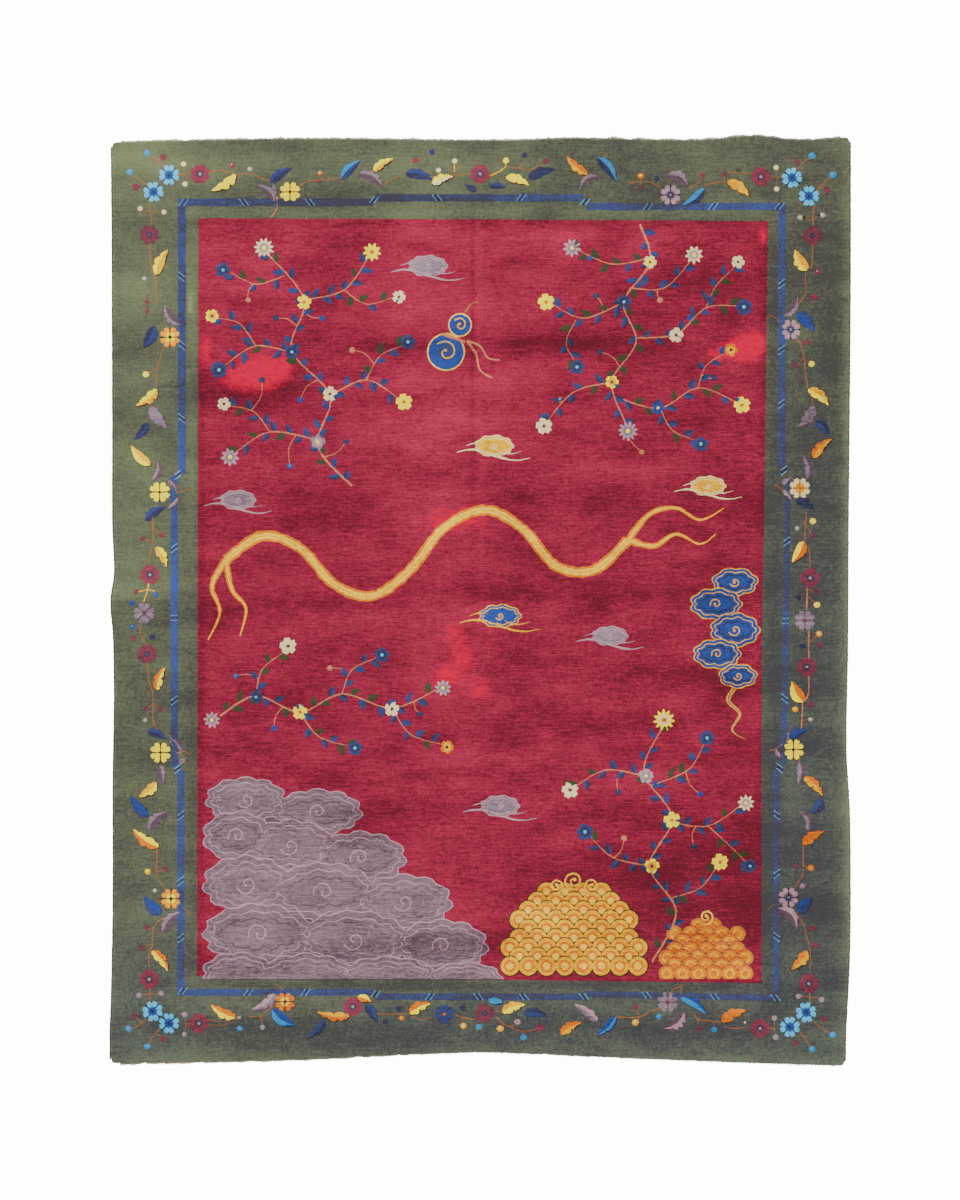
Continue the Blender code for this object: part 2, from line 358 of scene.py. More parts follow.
def paint(mesh, with_bleeds=False, tones=TONE_AND_SHADE_PATCHES):
    """Stores each point's tone, painted light and shade included, on a mesh, for its wool to read."""
    places = np.empty(len(mesh.vertices) * 3, np.float32)
    mesh.vertices.foreach_get("co", places)
    x, y, _ = places.reshape(-1, 3).T.astype(float)
    layers = [("light", painted(tones, x, y))]
    if with_bleeds:
        run = painted(BLEEDS, x, y) * BLEED_GAIN - BLEED_CUT
        layers.append(("bleed", np.clip(run, 0, BLEED_MOST)))
        layers.append(("stain", np.clip(painted(STAINS, x, y), 0, 1)))
        layers.append(("slate_and_shade", np.clip(painted(SLATE_AND_SHADE_PATCHES, x, y), 0, 1)))
    for name, values in layers:
        layer = mesh.attributes.new(name, "FLOAT", "POINT")
        layer.data.foreach_set("value", values.astype(np.float32))


print(len(TONE_AND_SHADE_PATCHES), "patches of tone,", len(BLEEDS), "of run dye")

# %% [markdown]
# ## Knotted wool
# Close up, the pile is rows of knots, each with its own shade, and the tips of the yarn make it
# soft. From a step away, you see fine lines along the knot rows, brushed streaks, and broad
# bands where one dye lot gives way to the next. All wools share these effects, so they are one
# node group. It reads Object coordinates, which are the same for every piece, so a motif and
# the ground round it show the same rows.

# %% Node helpers
def add_node(tree, kind, **settings):
    """A node with its properties set."""
    made = tree.nodes.new(kind)
    for name, value in settings.items():
        setattr(made, name, value)
    return made


def set_inputs(node, values):
    """Sets a node's inputs by their names."""
    for label, value in values.items():
        node.inputs[label].default_value = value


def is_number(value):
    """True for a plain number, and not for a node's output."""
    return isinstance(value, (int, float))


def calculate(operation, *values):
    """A Math node's output. Each value is a number or another node's output."""
    tree = next(value for value in values if not is_number(value)).id_data
    made = add_node(tree, "ShaderNodeMath", operation=operation)
    for socket, value in zip(made.inputs, values):
        if is_number(value):
            socket.default_value = value
        else:
            tree.links.new(value, socket)
    return made.outputs[0]


def plus(*values):
    """The sum of numbers and node outputs."""
    return reduce(lambda one, other: calculate("ADD", one, other), values)


def times(*values):
    """The product of numbers and node outputs."""
    return reduce(lambda one, other: calculate("MULTIPLY", one, other), values)


def stretched_noise(place, per_metre, detail, roughness):
    """A noise texture with its own scale each way, as a value round zero."""
    tree = place.id_data
    scaled = add_node(tree, "ShaderNodeVectorMath", operation="MULTIPLY")
    tree.links.new(place, scaled.inputs[0])
    scaled.inputs[1].default_value = per_metre
    texture = add_node(tree, "ShaderNodeTexNoise")
    tree.links.new(scaled.outputs[0], texture.inputs["Vector"])
    set_inputs(texture, {"Scale": 1.0, "Detail": detail, "Roughness": roughness})
    return calculate("SUBTRACT", texture.outputs["Fac"], 0.5)


# The sockets of a Mix node that are for colours go by number, because its names repeat.
COLOUR_A, COLOUR_B, MIXED_COLOUR = 6, 7, 2


def mixed(share, first, second, blend_type="MIX"):
    """Two colours mixed by a share. The second may be a plain colour."""
    tree = share.id_data
    blend = add_node(tree, "ShaderNodeMix", data_type="RGBA", blend_type=blend_type)
    tree.links.new(share, blend.inputs["Factor"])
    tree.links.new(first, blend.inputs[COLOUR_A])
    if isinstance(second, tuple):
        blend.inputs[COLOUR_B].default_value = (*second, 1)
    else:
        tree.links.new(second, blend.inputs[COLOUR_B])
    return blend.outputs[MIXED_COLOUR]


def bumped(height, strength, distance):
    """The normal of a surface with small bumps of this height."""
    tree = height.id_data
    bump = add_node(tree, "ShaderNodeBump")
    set_inputs(bump, {"Strength": strength, "Distance": distance})
    tree.links.new(height, bump.inputs["Height"])
    return bump.outputs[0]


def new_group(name, inputs, outputs):
    """An empty node group with its sockets, and its two end nodes."""
    group = bpy.data.node_groups.new(name, "ShaderNodeTree")
    for label, kind in inputs:
        group.interface.new_socket(name=label, in_out="INPUT", socket_type=kind)
    for label, kind in outputs:
        group.interface.new_socket(name=label, in_out="OUTPUT", socket_type=kind)
    return group, group.nodes.new("NodeGroupInput"), group.nodes.new("NodeGroupOutput")


# %% The knotted pile group
KNOT_ACROSS = 0.0032
KNOT_ALONG = 0.0028
COLOUR, FLOAT, VECTOR = "NodeSocketColor", "NodeSocketFloat", "NodeSocketVector"

pile, given, result = new_group(
    "knotted pile",
    (("Deep", COLOUR), ("Light", COLOUR), ("Contrast", FLOAT), ("Upright", FLOAT), ("Level", FLOAT)),
    (("Colour", COLOUR), ("Roughness", FLOAT), ("Normal", VECTOR)),
)
place = add_node(pile, "ShaderNodeTexCoord").outputs["Object"]

# Rows of knots, each second row half a knot over.
knots = add_node(pile, "ShaderNodeVectorMath", operation="DIVIDE")
pile.links.new(place, knots.inputs[0])
knots.inputs[1].default_value = (KNOT_ACROSS, KNOT_ALONG, 1.0)
parts = add_node(pile, "ShaderNodeSeparateXYZ")
pile.links.new(knots.outputs[0], parts.inputs[0])
row = calculate("FLOOR", parts.outputs["Y"])
along_row = plus(parts.outputs["X"], times(calculate("PINGPONG", row, 1.0), 0.5))
knot_number = add_node(pile, "ShaderNodeCombineXYZ")
pile.links.new(calculate("FLOOR", along_row), knot_number.inputs["X"])
pile.links.new(row, knot_number.inputs["Y"])
shade = add_node(pile, "ShaderNodeTexWhiteNoise", noise_dimensions="3D")
pile.links.new(knot_number.outputs[0], shade.inputs["Vector"])
knot_tone = calculate("SUBTRACT", shade.outputs["Value"], 0.5)
round_x = calculate("SINE", times(calculate("FRACT", along_row), math.pi))
round_y = calculate("SINE", times(calculate("FRACT", parts.outputs["Y"]), math.pi))
knot_dome = times(round_x, round_y)

# Lines along the rows, upright brush marks, cloudy wear and broad dye bands.
row_lines = stretched_noise(place, (12, 210, 1), 3.0, 0.62)
fine_lines = stretched_noise(place, (40, 420, 1), 1.0, 0.5)
brushed = stretched_noise(place, (125, 34, 1), 3.0, 0.6)
mottled = stretched_noise(place, (62, 84, 1), 4.0, 0.65)
cloudy = stretched_noise(place, (6, 11, 1), 5.0, 0.60)
dye_bands = stretched_noise(place, (0.7, 6.5, 1), 3.0, 0.6)
tufts = stretched_noise(place, (520, 520, 520), 3.0, 0.7)

# How much each effect shows in the wool's tone. "Upright" trades row lines for brush marks.
upright = given.outputs["Upright"]
level = calculate("SUBTRACT", 1.0, upright)
tone = plus(
    times(knot_tone, 0.30), times(row_lines, level, 1.25), times(fine_lines, level, 0.70),
    times(brushed, upright, 1.1), times(mottled, 0.75), times(cloudy, 0.85),
    times(dye_bands, 0.8), times(tufts, 0.5),
)
# The tone laid on each point: pile lie and dye lots, and painted light and shade.
laid_tone_and_shade = add_node(pile, "ShaderNodeAttribute", attribute_name="light").outputs["Fac"]
tone = plus(times(tone, given.outputs["Contrast"]), laid_tone_and_shade, given.outputs["Level"])
pile.links.new(mixed(tone, given.outputs["Deep"], given.outputs["Light"]), result.inputs["Colour"])
pile.links.new(calculate("MULTIPLY_ADD", cloudy, 0.2, 0.88), result.inputs["Roughness"])

# How much each effect stands up.
height = plus(
    times(knot_dome, 0.30), times(tufts, 1.1), times(fine_lines, 0.6), times(row_lines, 0.5),
    times(mottled, 0.9), times(cloudy, 0.9), times(brushed, upright, 0.9),
)
pile.links.new(bumped(height, 0.75, 0.0016), result.inputs["Normal"])
print("knotted pile group:", len(pile.nodes), "nodes")

# %% [markdown]
# ## The dyed wools
# Each wool has a deep and a light shade, and the group moves between them. The shades are
# linear colours, darker than they look on screen, because they are the share of light that
# the wool gives back. Sheen is the soft glow of fibres seen from the side.

# %% Wools by name
SHEEN = 0.03
SHEEN_ROUGHNESS = 0.45

Dye = namedtuple("Dye", "name deep light contrast upright level", defaults=(0.5,))

DYES = table(Dye, """
    crimson 0.066,0.005,0.011 0.340,0.0185,0.053 0.97 0.20 0.335
    green 0.030,0.029,0.026 0.118,0.139,0.068 0.82 0.50 0.30
    guard_blue 0.026,0.0245,0.036 0.030,0.052,0.178 1.5 0.5 0.33
    ice 0.020,0.190,0.330 0.090,0.380,0.560 1.2 0.3
    sky 0.040,0.130,0.220 0.085,0.240,0.380 0.8 0.3
    cyan 0.010,0.080,0.200 0.022,0.200,0.360 1.2 0.3
    blue 0.014,0.018,0.045 0.032,0.046,0.150 1.0 0.3
    royal 0.010,0.018,0.075 0.022,0.055,0.230 1.1 0.4
    navy 0.010,0.010,0.020 0.034,0.034,0.078 1.0 0.3
    mauve 0.060,0.040,0.054 0.225,0.160,0.195 1.2 0.25
    lilac 0.048,0.027,0.036 0.175,0.108,0.132 1.5 0.10
    plum 0.032,0.018,0.026 0.105,0.064,0.082 1.1 0.3
    pink 0.160,0.080,0.100 0.360,0.220,0.250 0.9 0.3
    maroon 0.048,0.012,0.018 0.140,0.036,0.050 1.0 0.3
    rose 0.070,0.011,0.020 0.205,0.030,0.052 1.0 0.3
    yellow 0.460,0.330,0.0 0.800,0.660,0.0 1.0 0.3
    gold 0.300,0.100,0.0 0.720,0.390,0.0 1.2 0.4
    amber 0.380,0.110,0.002 0.760,0.280,0.003 1.2 0.3
    orange 0.260,0.046,0.002 0.600,0.170,0.006 1.2 0.3
    ivory 0.320,0.250,0.110 0.640,0.540,0.280 0.6 0.3
    grey 0.110,0.092,0.082 0.280,0.240,0.220 0.6 0.3
    olive 0.014,0.018,0.008 0.045,0.055,0.026 0.7 0.3
    umber 0.013,0.010,0.008 0.036,0.028,0.020 0.6 0.3
    stem 0.100,0.035,0.014 0.260,0.105,0.040 0.6 0.3
    coral 0.190,0.048,0.026 0.480,0.160,0.080 0.8 0.3
    sand 0.360,0.180,0.010 0.780,0.480,0.030 1.2 0.4
    cord 0.026,0.024,0.021 0.100,0.115,0.060 0.7 0.5 0.4
    cotton 0.300,0.240,0.140 0.620,0.530,0.360 0.8 0.3
""")


def material_of(name, group, group_inputs, shader_inputs):
    """A material whose colour, normal and any roughness come from a node group."""
    material = bpy.data.materials.new(name)
    material.use_nodes = True
    tree = material.node_tree
    shader = tree.nodes["Principled BSDF"]
    set_inputs(shader, shader_inputs)
    placed = add_node(tree, "ShaderNodeGroup", node_tree=group)
    set_inputs(placed, group_inputs)
    for output in placed.outputs:
        socket = "Base Color" if output.name == "Colour" else output.name
        tree.links.new(output, shader.inputs[socket])
    return material


def wool(dye):
    """A wool in the knotted pile group, with its own dye."""
    return material_of(
        "wool_" + dye.name, pile,
        {"Deep": (*dye.deep, 1), "Light": (*dye.light, 1), "Contrast": dye.contrast,
         "Upright": dye.upright, "Level": dye.level},
        {"Metallic": 0.0, "Specular IOR Level": 0.04, "Sheen Weight": SHEEN,
         "Sheen Roughness": SHEEN_ROUGHNESS},
    )


uneven, given, result = new_group("uneven edge", (("Mask", FLOAT),), (("Share", FLOAT),))
place = add_node(uneven, "ShaderNodeTexCoord").outputs["Object"]
blotches = stretched_noise(place, (38, 52, 1), 5.0, 0.65)
threads = stretched_noise(place, (16, 210, 1), 3.0, 0.6)
edge = plus(given.outputs["Mask"], times(blotches, 1.9), times(threads, 1.1))
clipped = add_node(uneven, "ShaderNodeClamp")
uneven.links.new(times(calculate("SUBTRACT", edge, 0.34), 1.28), clipped.inputs["Value"])
uneven.links.new(clipped.outputs[0], result.inputs["Share"])


def lay_over(material, layer, colour, soaks=False, blend_type="MIX"):
    """Lays a colour over a wool where the mesh's layer says so. A dye that soaks has an uneven edge."""
    tree = material.node_tree
    base = tree.nodes["Principled BSDF"].inputs["Base Color"]
    share = add_node(tree, "ShaderNodeAttribute", attribute_name=layer).outputs["Fac"]
    if soaks:
        soaked = add_node(tree, "ShaderNodeGroup", node_tree=uneven)
        tree.links.new(share, soaked.inputs["Mask"])
        share = soaked.outputs["Share"]
    tree.links.new(mixed(share, base.links[0].from_socket, colour, blend_type), base)


RUN_RED = (0.392, 0.0001, 0.025)
STAIN_CREAM = (0.170, 0.190, 0.085)
SLATE_AND_SHADE_TINT = (0.89, 0.91, 1.12)

wools = {dye.name: wool(dye) for dye in DYES}
lay_over(wools["crimson"], "bleed", RUN_RED, soaks=True)
lay_over(wools["green"], "stain", STAIN_CREAM, soaks=True)
# The slate tint multiplies the green: partly painted shade, partly the lie of the pile.
lay_over(wools["green"], "slate_and_shade", SLATE_AND_SHADE_TINT, blend_type="MULTIPLY")
print(len(wools), "wools")

# %% [markdown]
# ## The underside
# The back of a knotted carpet shows each knot as a small bump across two warps, with rows of
# cotton weft between them. It is flat and a little paler than the face.

# %% The woven back
WEFT_EVERY = 0.0028
WARP_EVERY = 0.0032

back_group, given, result = new_group(
    "knotted back",
    (("Wool", COLOUR), ("Weft", COLOUR)),
    (("Colour", COLOUR), ("Normal", VECTOR)),
)
place = add_node(back_group, "ShaderNodeTexCoord").outputs["Object"]
parts = add_node(back_group, "ShaderNodeSeparateXYZ")
back_group.links.new(place, parts.inputs[0])
waves = [
    calculate("SINE", times(parts.outputs[axis], 2 * math.pi / every))
    for axis, every in (("X", WARP_EVERY), ("Y", WEFT_EVERY))
]
weft_shows = calculate("GREATER_THAN", waves[1], 0.72)
speckle = stretched_noise(place, (160, 160, 160), 3.0, 0.6)
dusty = stretched_noise(place, (4, 4, 4), 4.0, 0.6)
share = plus(times(weft_shows, plus(speckle, 0.55)), times(dusty, 0.4))
colour = mixed(share, given.outputs["Wool"], given.outputs["Weft"])
back_group.links.new(colour, result.inputs["Colour"])
back_group.links.new(bumped(times(*waves), 0.6, 0.0006), result.inputs["Normal"])


def woven_back(name, colour):
    """The flat back of the knots in one colour of wool, with the cotton between."""
    return material_of(
        "back_" + name, back_group, {"Wool": (*colour, 1), "Weft": (*COTTON, 1)},
        {"Roughness": 0.92, "Specular IOR Level": 0.15},
    )


COTTON = (0.62, 0.54, 0.40)
crimson_back = woven_back("crimson", (0.24, 0.018, 0.044))
green_back = woven_back("green", (0.090, 0.105, 0.055))
print("2 backs")

# %% [markdown]
# ## The carpet itself
# One slab, as in the frame but with a much finer grid: a flat grid is thickened, its corners and
# its upper rim are rounded with a bevel, and then each point is moved to its settled place.
# Two rows and two columns of the grid are drawn onto the edges of the red field, so that the
# colours meet on a clean line of knots.

# %% The edges of the red field
FIELD_LEFT = ((218, 198.6), (600, 197.6), (980, 197.0))
FIELD_RIGHT = ((218, 768.0), (450, 765.0), (650, 761.8), (980, 761.6))
FIELD_TOP = ((197, 218.2), (480, 219.4), (768, 221.2))
FIELD_BOTTOM = ((197, 976.0), (480, 979.6), (762, 983.2))
EDGE_WAVER_PX = 0.35


def pixel_on(rows, along):
    """A field edge's pixel coordinate, at a pixel along it, with a knot's waver."""
    place = np.interp(along, [row[0] for row in rows], [row[1] for row in rows])
    return place + EDGE_WAVER_PX * noise.noise(Vector((along * 0.09, rows[0][1], 0.0)))


def field_edges(place):
    """The field's left, right, bottom and top edges near a place, in metres."""
    px = (place.x - shift.x) / PIXEL + MIDDLE_PX
    py = MIDDLE_PY - (place.y - shift.y) / PIXEL
    left = spot((pixel_on(FIELD_LEFT, py), py)).x
    right = spot((pixel_on(FIELD_RIGHT, py), py)).x
    bottom = spot((px, pixel_on(FIELD_BOTTOM, px))).y
    top = spot((px, pixel_on(FIELD_TOP, px))).y
    return left, right, bottom, top


print("field edges:", [round(value, 3) for value in field_edges(shift)])

# %% Build the carpet
CELLS_ACROSS = 172
CELLS_ALONG = 216
CORNER_STEPS = 5
RIM_STEPS = 3
DRAWN_WITHIN = 0.085
FACES_THAT_WAY = 0.5
SQUARE_CORNER = math.radians(60)
SMOOTH_UNDER = math.radians(50)


def extruded(bm):
    """Turns a sheet's faces up, extrudes them, and returns the points of the new face."""
    bm.normal_update()
    bmesh.ops.reverse_faces(bm, faces=[face for face in bm.faces if face.normal.z < 0])
    grown = bmesh.ops.extrude_face_region(bm, geom=bm.faces[:])
    return {item for item in grown["geom"] if isinstance(item, bmesh.types.BMVert)}


def thickened_grid(cells_x, cells_y, thickness):
    """A closed one-metre square slab, divided into cells."""
    bm = bmesh.new()
    bmesh.ops.create_grid(bm, x_segments=cells_x, y_segments=cells_y, size=0.5)
    bmesh.ops.translate(bm, vec=(0, 0, thickness), verts=list(extruded(bm)))
    bmesh.ops.recalc_face_normals(bm, faces=bm.faces[:])
    return bm


def is_corner(edge):
    """True for one of the four upright edges where two walls meet."""
    stands = abs(edge.verts[0].co.z - edge.verts[1].co.z) > THICKNESS / 2
    return stands and edge.calc_face_angle(0.0) > SQUARE_CORNER


def is_rim(edge):
    """True for an edge between the face of the pile and a wall."""
    facing = sorted(abs(face.normal.z) for face in edge.link_faces)
    high = min(vert.co.z for vert in edge.verts) > THICKNESS / 2
    return high and facing[0] < FACES_THAT_WAY < facing[1]


def pulled(value, line, target):
    """A coordinate near a grid line, moved along as the line is drawn onto its target."""
    near = max(0.0, 1 - abs(value - line) / DRAWN_WITHIN)
    return value + (target - line) * near**2 * (3 - 2 * near)


edges = field_edges(shift)
first_column, last_column = (
    round(CELLS_ACROSS * ((x - shift.x) / BODY_WIDTH + 0.5)) for x in edges[:2]
)
first_row, last_row = (
    round(CELLS_ALONG * ((y - shift.y) / BODY_LENGTH + 0.5)) for y in edges[2:]
)

bm = thickened_grid(CELLS_ACROSS, CELLS_ALONG, THICKNESS)
for face in bm.faces:
    middle = face.calc_center_median()
    column = math.floor((middle.x + 0.5) * CELLS_ACROSS)
    line = math.floor((middle.y + 0.5) * CELLS_ALONG)
    inside = first_column <= column < last_column and first_row <= line < last_row
    below = face.normal.z < -FACES_THAT_WAY
    face.material_index = (0 if inside else 1) + (2 if below else 0)
bmesh.ops.scale(bm, vec=(BODY_WIDTH, BODY_LENGTH, 1), verts=bm.verts[:])
for rounded, radius, steps in (
    (is_corner, CORNER_RADIUS, CORNER_STEPS), (is_rim, RIM_RADIUS, RIM_STEPS),
):
    bmesh.ops.bevel(
        bm, geom=[edge for edge in bm.edges if rounded(edge)], offset=radius, segments=steps,
        profile=0.5, affect="EDGES", material=-1,
    )
for vert in bm.verts:
    across = vert.co.x / BODY_WIDTH + 0.5
    up = vert.co.y / BODY_LENGTH + 0.5
    place = settled(across, up)
    left, right, low, high = field_edges(place)
    x = pulled(place.x, settled(first_column / CELLS_ACROSS, up).x, left)
    x = pulled(x, settled(last_column / CELLS_ACROSS, up).x, right)
    y = pulled(place.y, settled(across, first_row / CELLS_ALONG).y, low)
    y = pulled(y, settled(across, last_row / CELLS_ALONG).y, high)
    place = Vector((x, y, 0.0))
    share = vert.co.z / THICKNESS
    bottom_height = floor_lift(place)
    vert.co = (x, y, bottom_height + share * (pile_top(place) - bottom_height))
bmesh.ops.recalc_face_normals(bm, faces=bm.faces[:])


def add_object(name, data):
    """A new object in the scene."""
    made = bpy.data.objects.new(name, data)
    bpy.context.scene.collection.objects.link(made)
    return made


def finish_mesh(name, bm, materials):
    """Turns a bmesh into a piece at the origin that rides with the carpet."""
    mesh = bpy.data.meshes.new(name)
    bm.to_mesh(mesh)
    bm.free()
    for material in materials:
        mesh.materials.append(material)
    mesh.shade_smooth()
    mesh.set_sharp_from_angle(angle=SMOOTH_UNDER)
    made = add_object(name, mesh)
    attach(made, "root")
    return made


carpet = finish_mesh("carpet_pile", bm, (wools["crimson"], wools["green"], crimson_back, green_back))
paint(carpet.data, with_bleeds=True)
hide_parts("carpet")
print("carpet:", len(carpet.data.polygons), "faces")

# %% [markdown]
# ## Pile in other colours
# A motif is the same pile in another wool, and the shears leave it standing a little proud.
# Each one starts as a small grid, which a function bends into a leaf, a petal, a disc or a
# ribbon. All the patches of one region share a mesh, and one extrude at the end gives every
# patch its skirt, which is sunk in the ground pile.

# %% Patches of pile
PROUD_MM = 0.35
CROWN_MM = 0.55
TIER_MM = 0.16
SUNK_MM = 1.2
RAGGED_MM = 1.5
RAGGED_PER_METRE = 125
RAGGED_SEED = 11

# Without a seed, the vector noise of the ragged edges takes its offsets from the clock.
noise.seed_set(RAGGED_SEED)


class Region:
    """The patches of pile of one part of the carpet, on their way to being one mesh."""

    def __init__(self, name, lowest=None):
        self.name = name
        self.lowest = lowest
        self.bm = bmesh.new()
        self.names = []

    def number(self, name):
        """The material slot of a wool in this region."""
        if name not in self.names:
            self.names.append(name)
        return self.names.index(name)

    def patch(self, cells, shape, wool_at, tier):
        """Adds a grid whose points go where shape(u, v) says, with u and v from -1 to 1."""
        made = bmesh.ops.create_grid(self.bm, x_segments=cells[0], y_segments=cells[1], size=1.0)
        for face in dict.fromkeys(face for vert in made["verts"] for face in vert.link_faces):
            middle = face.calc_center_median()
            face.material_index = self.number(wool_at(middle.x, middle.y))
        for vert in made["verts"]:
            x, y, crown = shape(vert.co.x, vert.co.y)
            vert.co = (x, y, MM * (PROUD_MM + TIER_MM * tier + CROWN_MM * crown))
        if self.lowest is not None:
            self.cut_off(made["verts"])

    def cut_off(self, verts):
        """Ends a patch at the region's lowest line."""
        over = {vert for vert in verts if vert.co.y < self.lowest}
        lost = {face for vert in over for face in vert.link_faces if over.issuperset(face.verts)}
        bmesh.ops.delete(self.bm, geom=list(lost), context="FACES")
        for vert in verts:
            if vert.is_valid and vert.co.y < self.lowest:
                vert.co.y = self.lowest

    def finish(self, tones=TONE_AND_SHADE_PATCHES):
        """Gives the patches their skirts and lays them on the pile."""
        bm = self.bm
        raised = extruded(bm)
        for vert in bm.verts:
            relief = vert.co.z if vert in raised else -MM * SUNK_MM
            ragged = noise.noise_vector(Vector((vert.co.x, vert.co.y, 0.0)) * RAGGED_PER_METRE)
            vert.co += MM * RAGGED_MM * Vector((ragged.x, ragged.y, 0.0))
            if self.lowest is not None:
                vert.co.y = max(vert.co.y, self.lowest)
            vert.co.z = pile_top(vert.co) + relief
        bmesh.ops.recalc_face_normals(bm, faces=bm.faces[:])
        made = finish_mesh(self.name, bm, [wools[name] for name in self.names])
        paint(made.data, tones=tones)
        print(self.name, "has", len(made.data.polygons), "faces")
        return made


# %% Discs, blades and ribbons
def plain(name):
    """A patch in one wool."""
    return lambda u, v: name


def halves(one, other):
    """A patch with a different wool each side of its middle line."""
    return lambda u, v: one if v > 0 else other


def in_circle(u, v):
    """A point of a square, with the square's corners drawn in to make a circle."""
    return u * math.sqrt(1 - v * v / 2), v * math.sqrt(1 - u * u / 2)


def disc(region, middle, radius, name, tier, squash=1.0, cells=4, dome=1.0):
    """A round patch."""

    def shape(u, v):
        x, y = in_circle(u, v)
        crown = dome * max(0.0, 1 - x * x - y * y) ** 0.5
        return middle.x + x * radius, middle.y + y * radius * squash, crown

    region.patch((cells, cells), shape, plain(name), tier)


def leaf_outline(s):
    """A leaf's half width at a share of its length: full near the base, with a long tip."""
    return 0.05 + 0.95 * max(0.0, math.sin(math.pi * s**0.7)) ** 0.85


def petal_outline(s):
    """A petal's half width, broad near its outer end."""
    return 0.34 + 0.66 * math.sin(math.pi * (0.06 + 0.80 * s**1.15))


def rosette_outline(s):
    """The half width of a rosette's petal: narrow at its base and full near its end."""
    return 0.18 + 0.82 * math.sin(math.pi * (0.02 + 0.80 * s**1.1))


def round_outline(s):
    """A half width that is round at both ends."""
    return math.sqrt(max(0.02, 1 - (2 * s - 1) ** 2))


Blade = namedtuple("Blade", "outline lobes lobe_depth both_sides bow notch cells")

LEAF_FORMS = {
    "plain": Blade(leaf_outline, 0, 0.0, False, 0.07, 0.0, (9, 4)),
    "oak": Blade(leaf_outline, 3, 0.36, True, 0.08, 0.0, (18, 4)),
    "half": Blade(leaf_outline, 3, 0.44, False, 0.09, 0.0, (18, 4)),
    "feather": Blade(leaf_outline, 4, 0.42, True, 0.14, 0.0, (20, 4)),
    "sickle": Blade(leaf_outline, 2, 0.12, False, 0.20, 0.0, (10, 4)),
}
PETAL = Blade(petal_outline, 0, 0.0, False, 0.0, 0.06, (4, 4))
ROSETTE_PETAL = Blade(rosette_outline, 0, 0.0, False, 0.0, 0.03, (5, 4))
LONG_PETAL = Blade(round_outline, 0, 0.0, False, 0.0, 0.0, (5, 2))


def blade(region, base, tip, width, form, wool_at, tier, grow=0.0, bend=1.0):
    """A leaf or a petal from its base to its tip. A width is across the widest place."""
    line = tip - base
    length = line.length
    ahead = line / length
    aside = Vector((-ahead.y, ahead.x, 0.0))
    start = base - ahead * grow
    long = length + 2 * grow
    half = width / 2 + grow

    def shape(u, v):
        s = (u + 1) / 2
        wide = form.outline(s)
        if form.lobes and (v > 0 or form.both_sides):
            shift_along = 0.0 if v > 0 else 0.5
            wave = abs(math.sin(math.pi * (form.lobes * s + shift_along)))
            wide *= 1 - form.lobe_depth * (1 - wave) ** 1.5 * math.sin(math.pi * s) ** 0.5
        along = long * s * (1 - form.notch * s * (1 - abs(v)))
        sideways = half * wide * v + bend * form.bow * length * math.sin(math.pi * s)
        point = start + ahead * along + aside * sideways
        crown = (1 - v * v) * math.sin(math.pi * min(max(s, 0.08), 0.92)) ** 0.5
        return point.x, point.y, crown

    region.patch(form.cells, shape, wool_at, tier)


def smooth_line(points, step):
    """Places on a smooth curve through some points, about a step apart."""
    line = []
    for i in range(len(points) - 1):
        before = points[max(i - 1, 0)]
        start, end = points[i], points[i + 1]
        after = points[min(i + 2, len(points) - 1)]
        pieces = max(1, round((end - start).length / step))
        for k in range(pieces):
            t = k / pieces
            bend = (2 * before - 5 * start + 4 * end - after) * t**2
            twist = (3 * start - before - 3 * end + after) * t**3
            line.append(0.5 * (2 * start + (end - before) * t + bend + twist))
    return line + [points[-1]]


def ribbon(
    region, points, width, wool_at, tier, step=0.010, taper=0.0, cells_wide=2, wobble=0.0,
    swell=False, dome=1.0,
):
    """A strip of pile along a smooth line. A taper of 1 brings its end to a point, and a swell both."""
    line = smooth_line(points, step)
    last = len(line) - 1
    if last < 1:
        return

    def shape(u, v):
        i = round((u + 1) / 2 * last)
        ahead = (line[min(i + 1, last)] - line[max(i - 1, 0)]).normalized()
        aside = Vector((-ahead.y, ahead.x, 0.0))
        half = width / 2 * (1 - taper * i / last)
        half *= 1 + wobble * noise.noise(Vector((line[i].x * 60, line[i].y * 60, 0.0)))
        if swell:
            half *= 0.10 + 0.90 * math.sin(math.pi * (0.03 + 0.94 * i / last) ** 0.8)
        point = line[i] + aside * (half * v)
        return point.x, point.y, dome * (1 - v * v)

    region.patch((last, cells_wide), shape, wool_at, tier)


print("discs, blades and ribbons are ready")

# %% [markdown]
# ## The guard stripe
# A narrow blue stripe runs round the field. It isn't one line: twice along each side it steps
# over by about its own width, so each straight run is a row of the table. Pairs of
# pale dashes with a dark one between them cross it every 70 pixels or so.

# %% The runs of the stripe
Run = namedtuple("Run", "start end width")

GUARD_RUNS = table(Run, """
    178.0,202.3 372.5,202.3 7.4; 375.5,197.8 583.0,197.8 7.4; 586.5,206.5 786.0,206.5 7.2
    782.0,210.2 781.6,467.0 7.6; 788.0,477.5 783.6,764.5 5.8; 776.6,770.5 776.3,994.4 5.8
    587.0,994.0 779.3,997.9 6.3; 377.0,996.6 583.0,996.8 6.5; 177.0,992.3 373.5,992.3 6.5
    180.7,989.0 181.0,770.0 7.3; 174.4,767.0 174.2,476.0 7.4; 181.8,473.0 181.9,206.1 7.6
""")
RIBBON_STEP = 0.020

guard = Region("guard_stripe")
for run in GUARD_RUNS:
    ribbon(
        guard, [spot(run.start), spot(run.end)], run.width * PIXEL, plain("guard_blue"), 0,
        step=RIBBON_STEP, cells_wide=4, wobble=0.2,
    )

# %% The dashes across the stripe
# "lean" is 1 where a dash slopes up to the right and -1 where it slopes down.
Dash = namedtuple("Dash", "px py along lean")

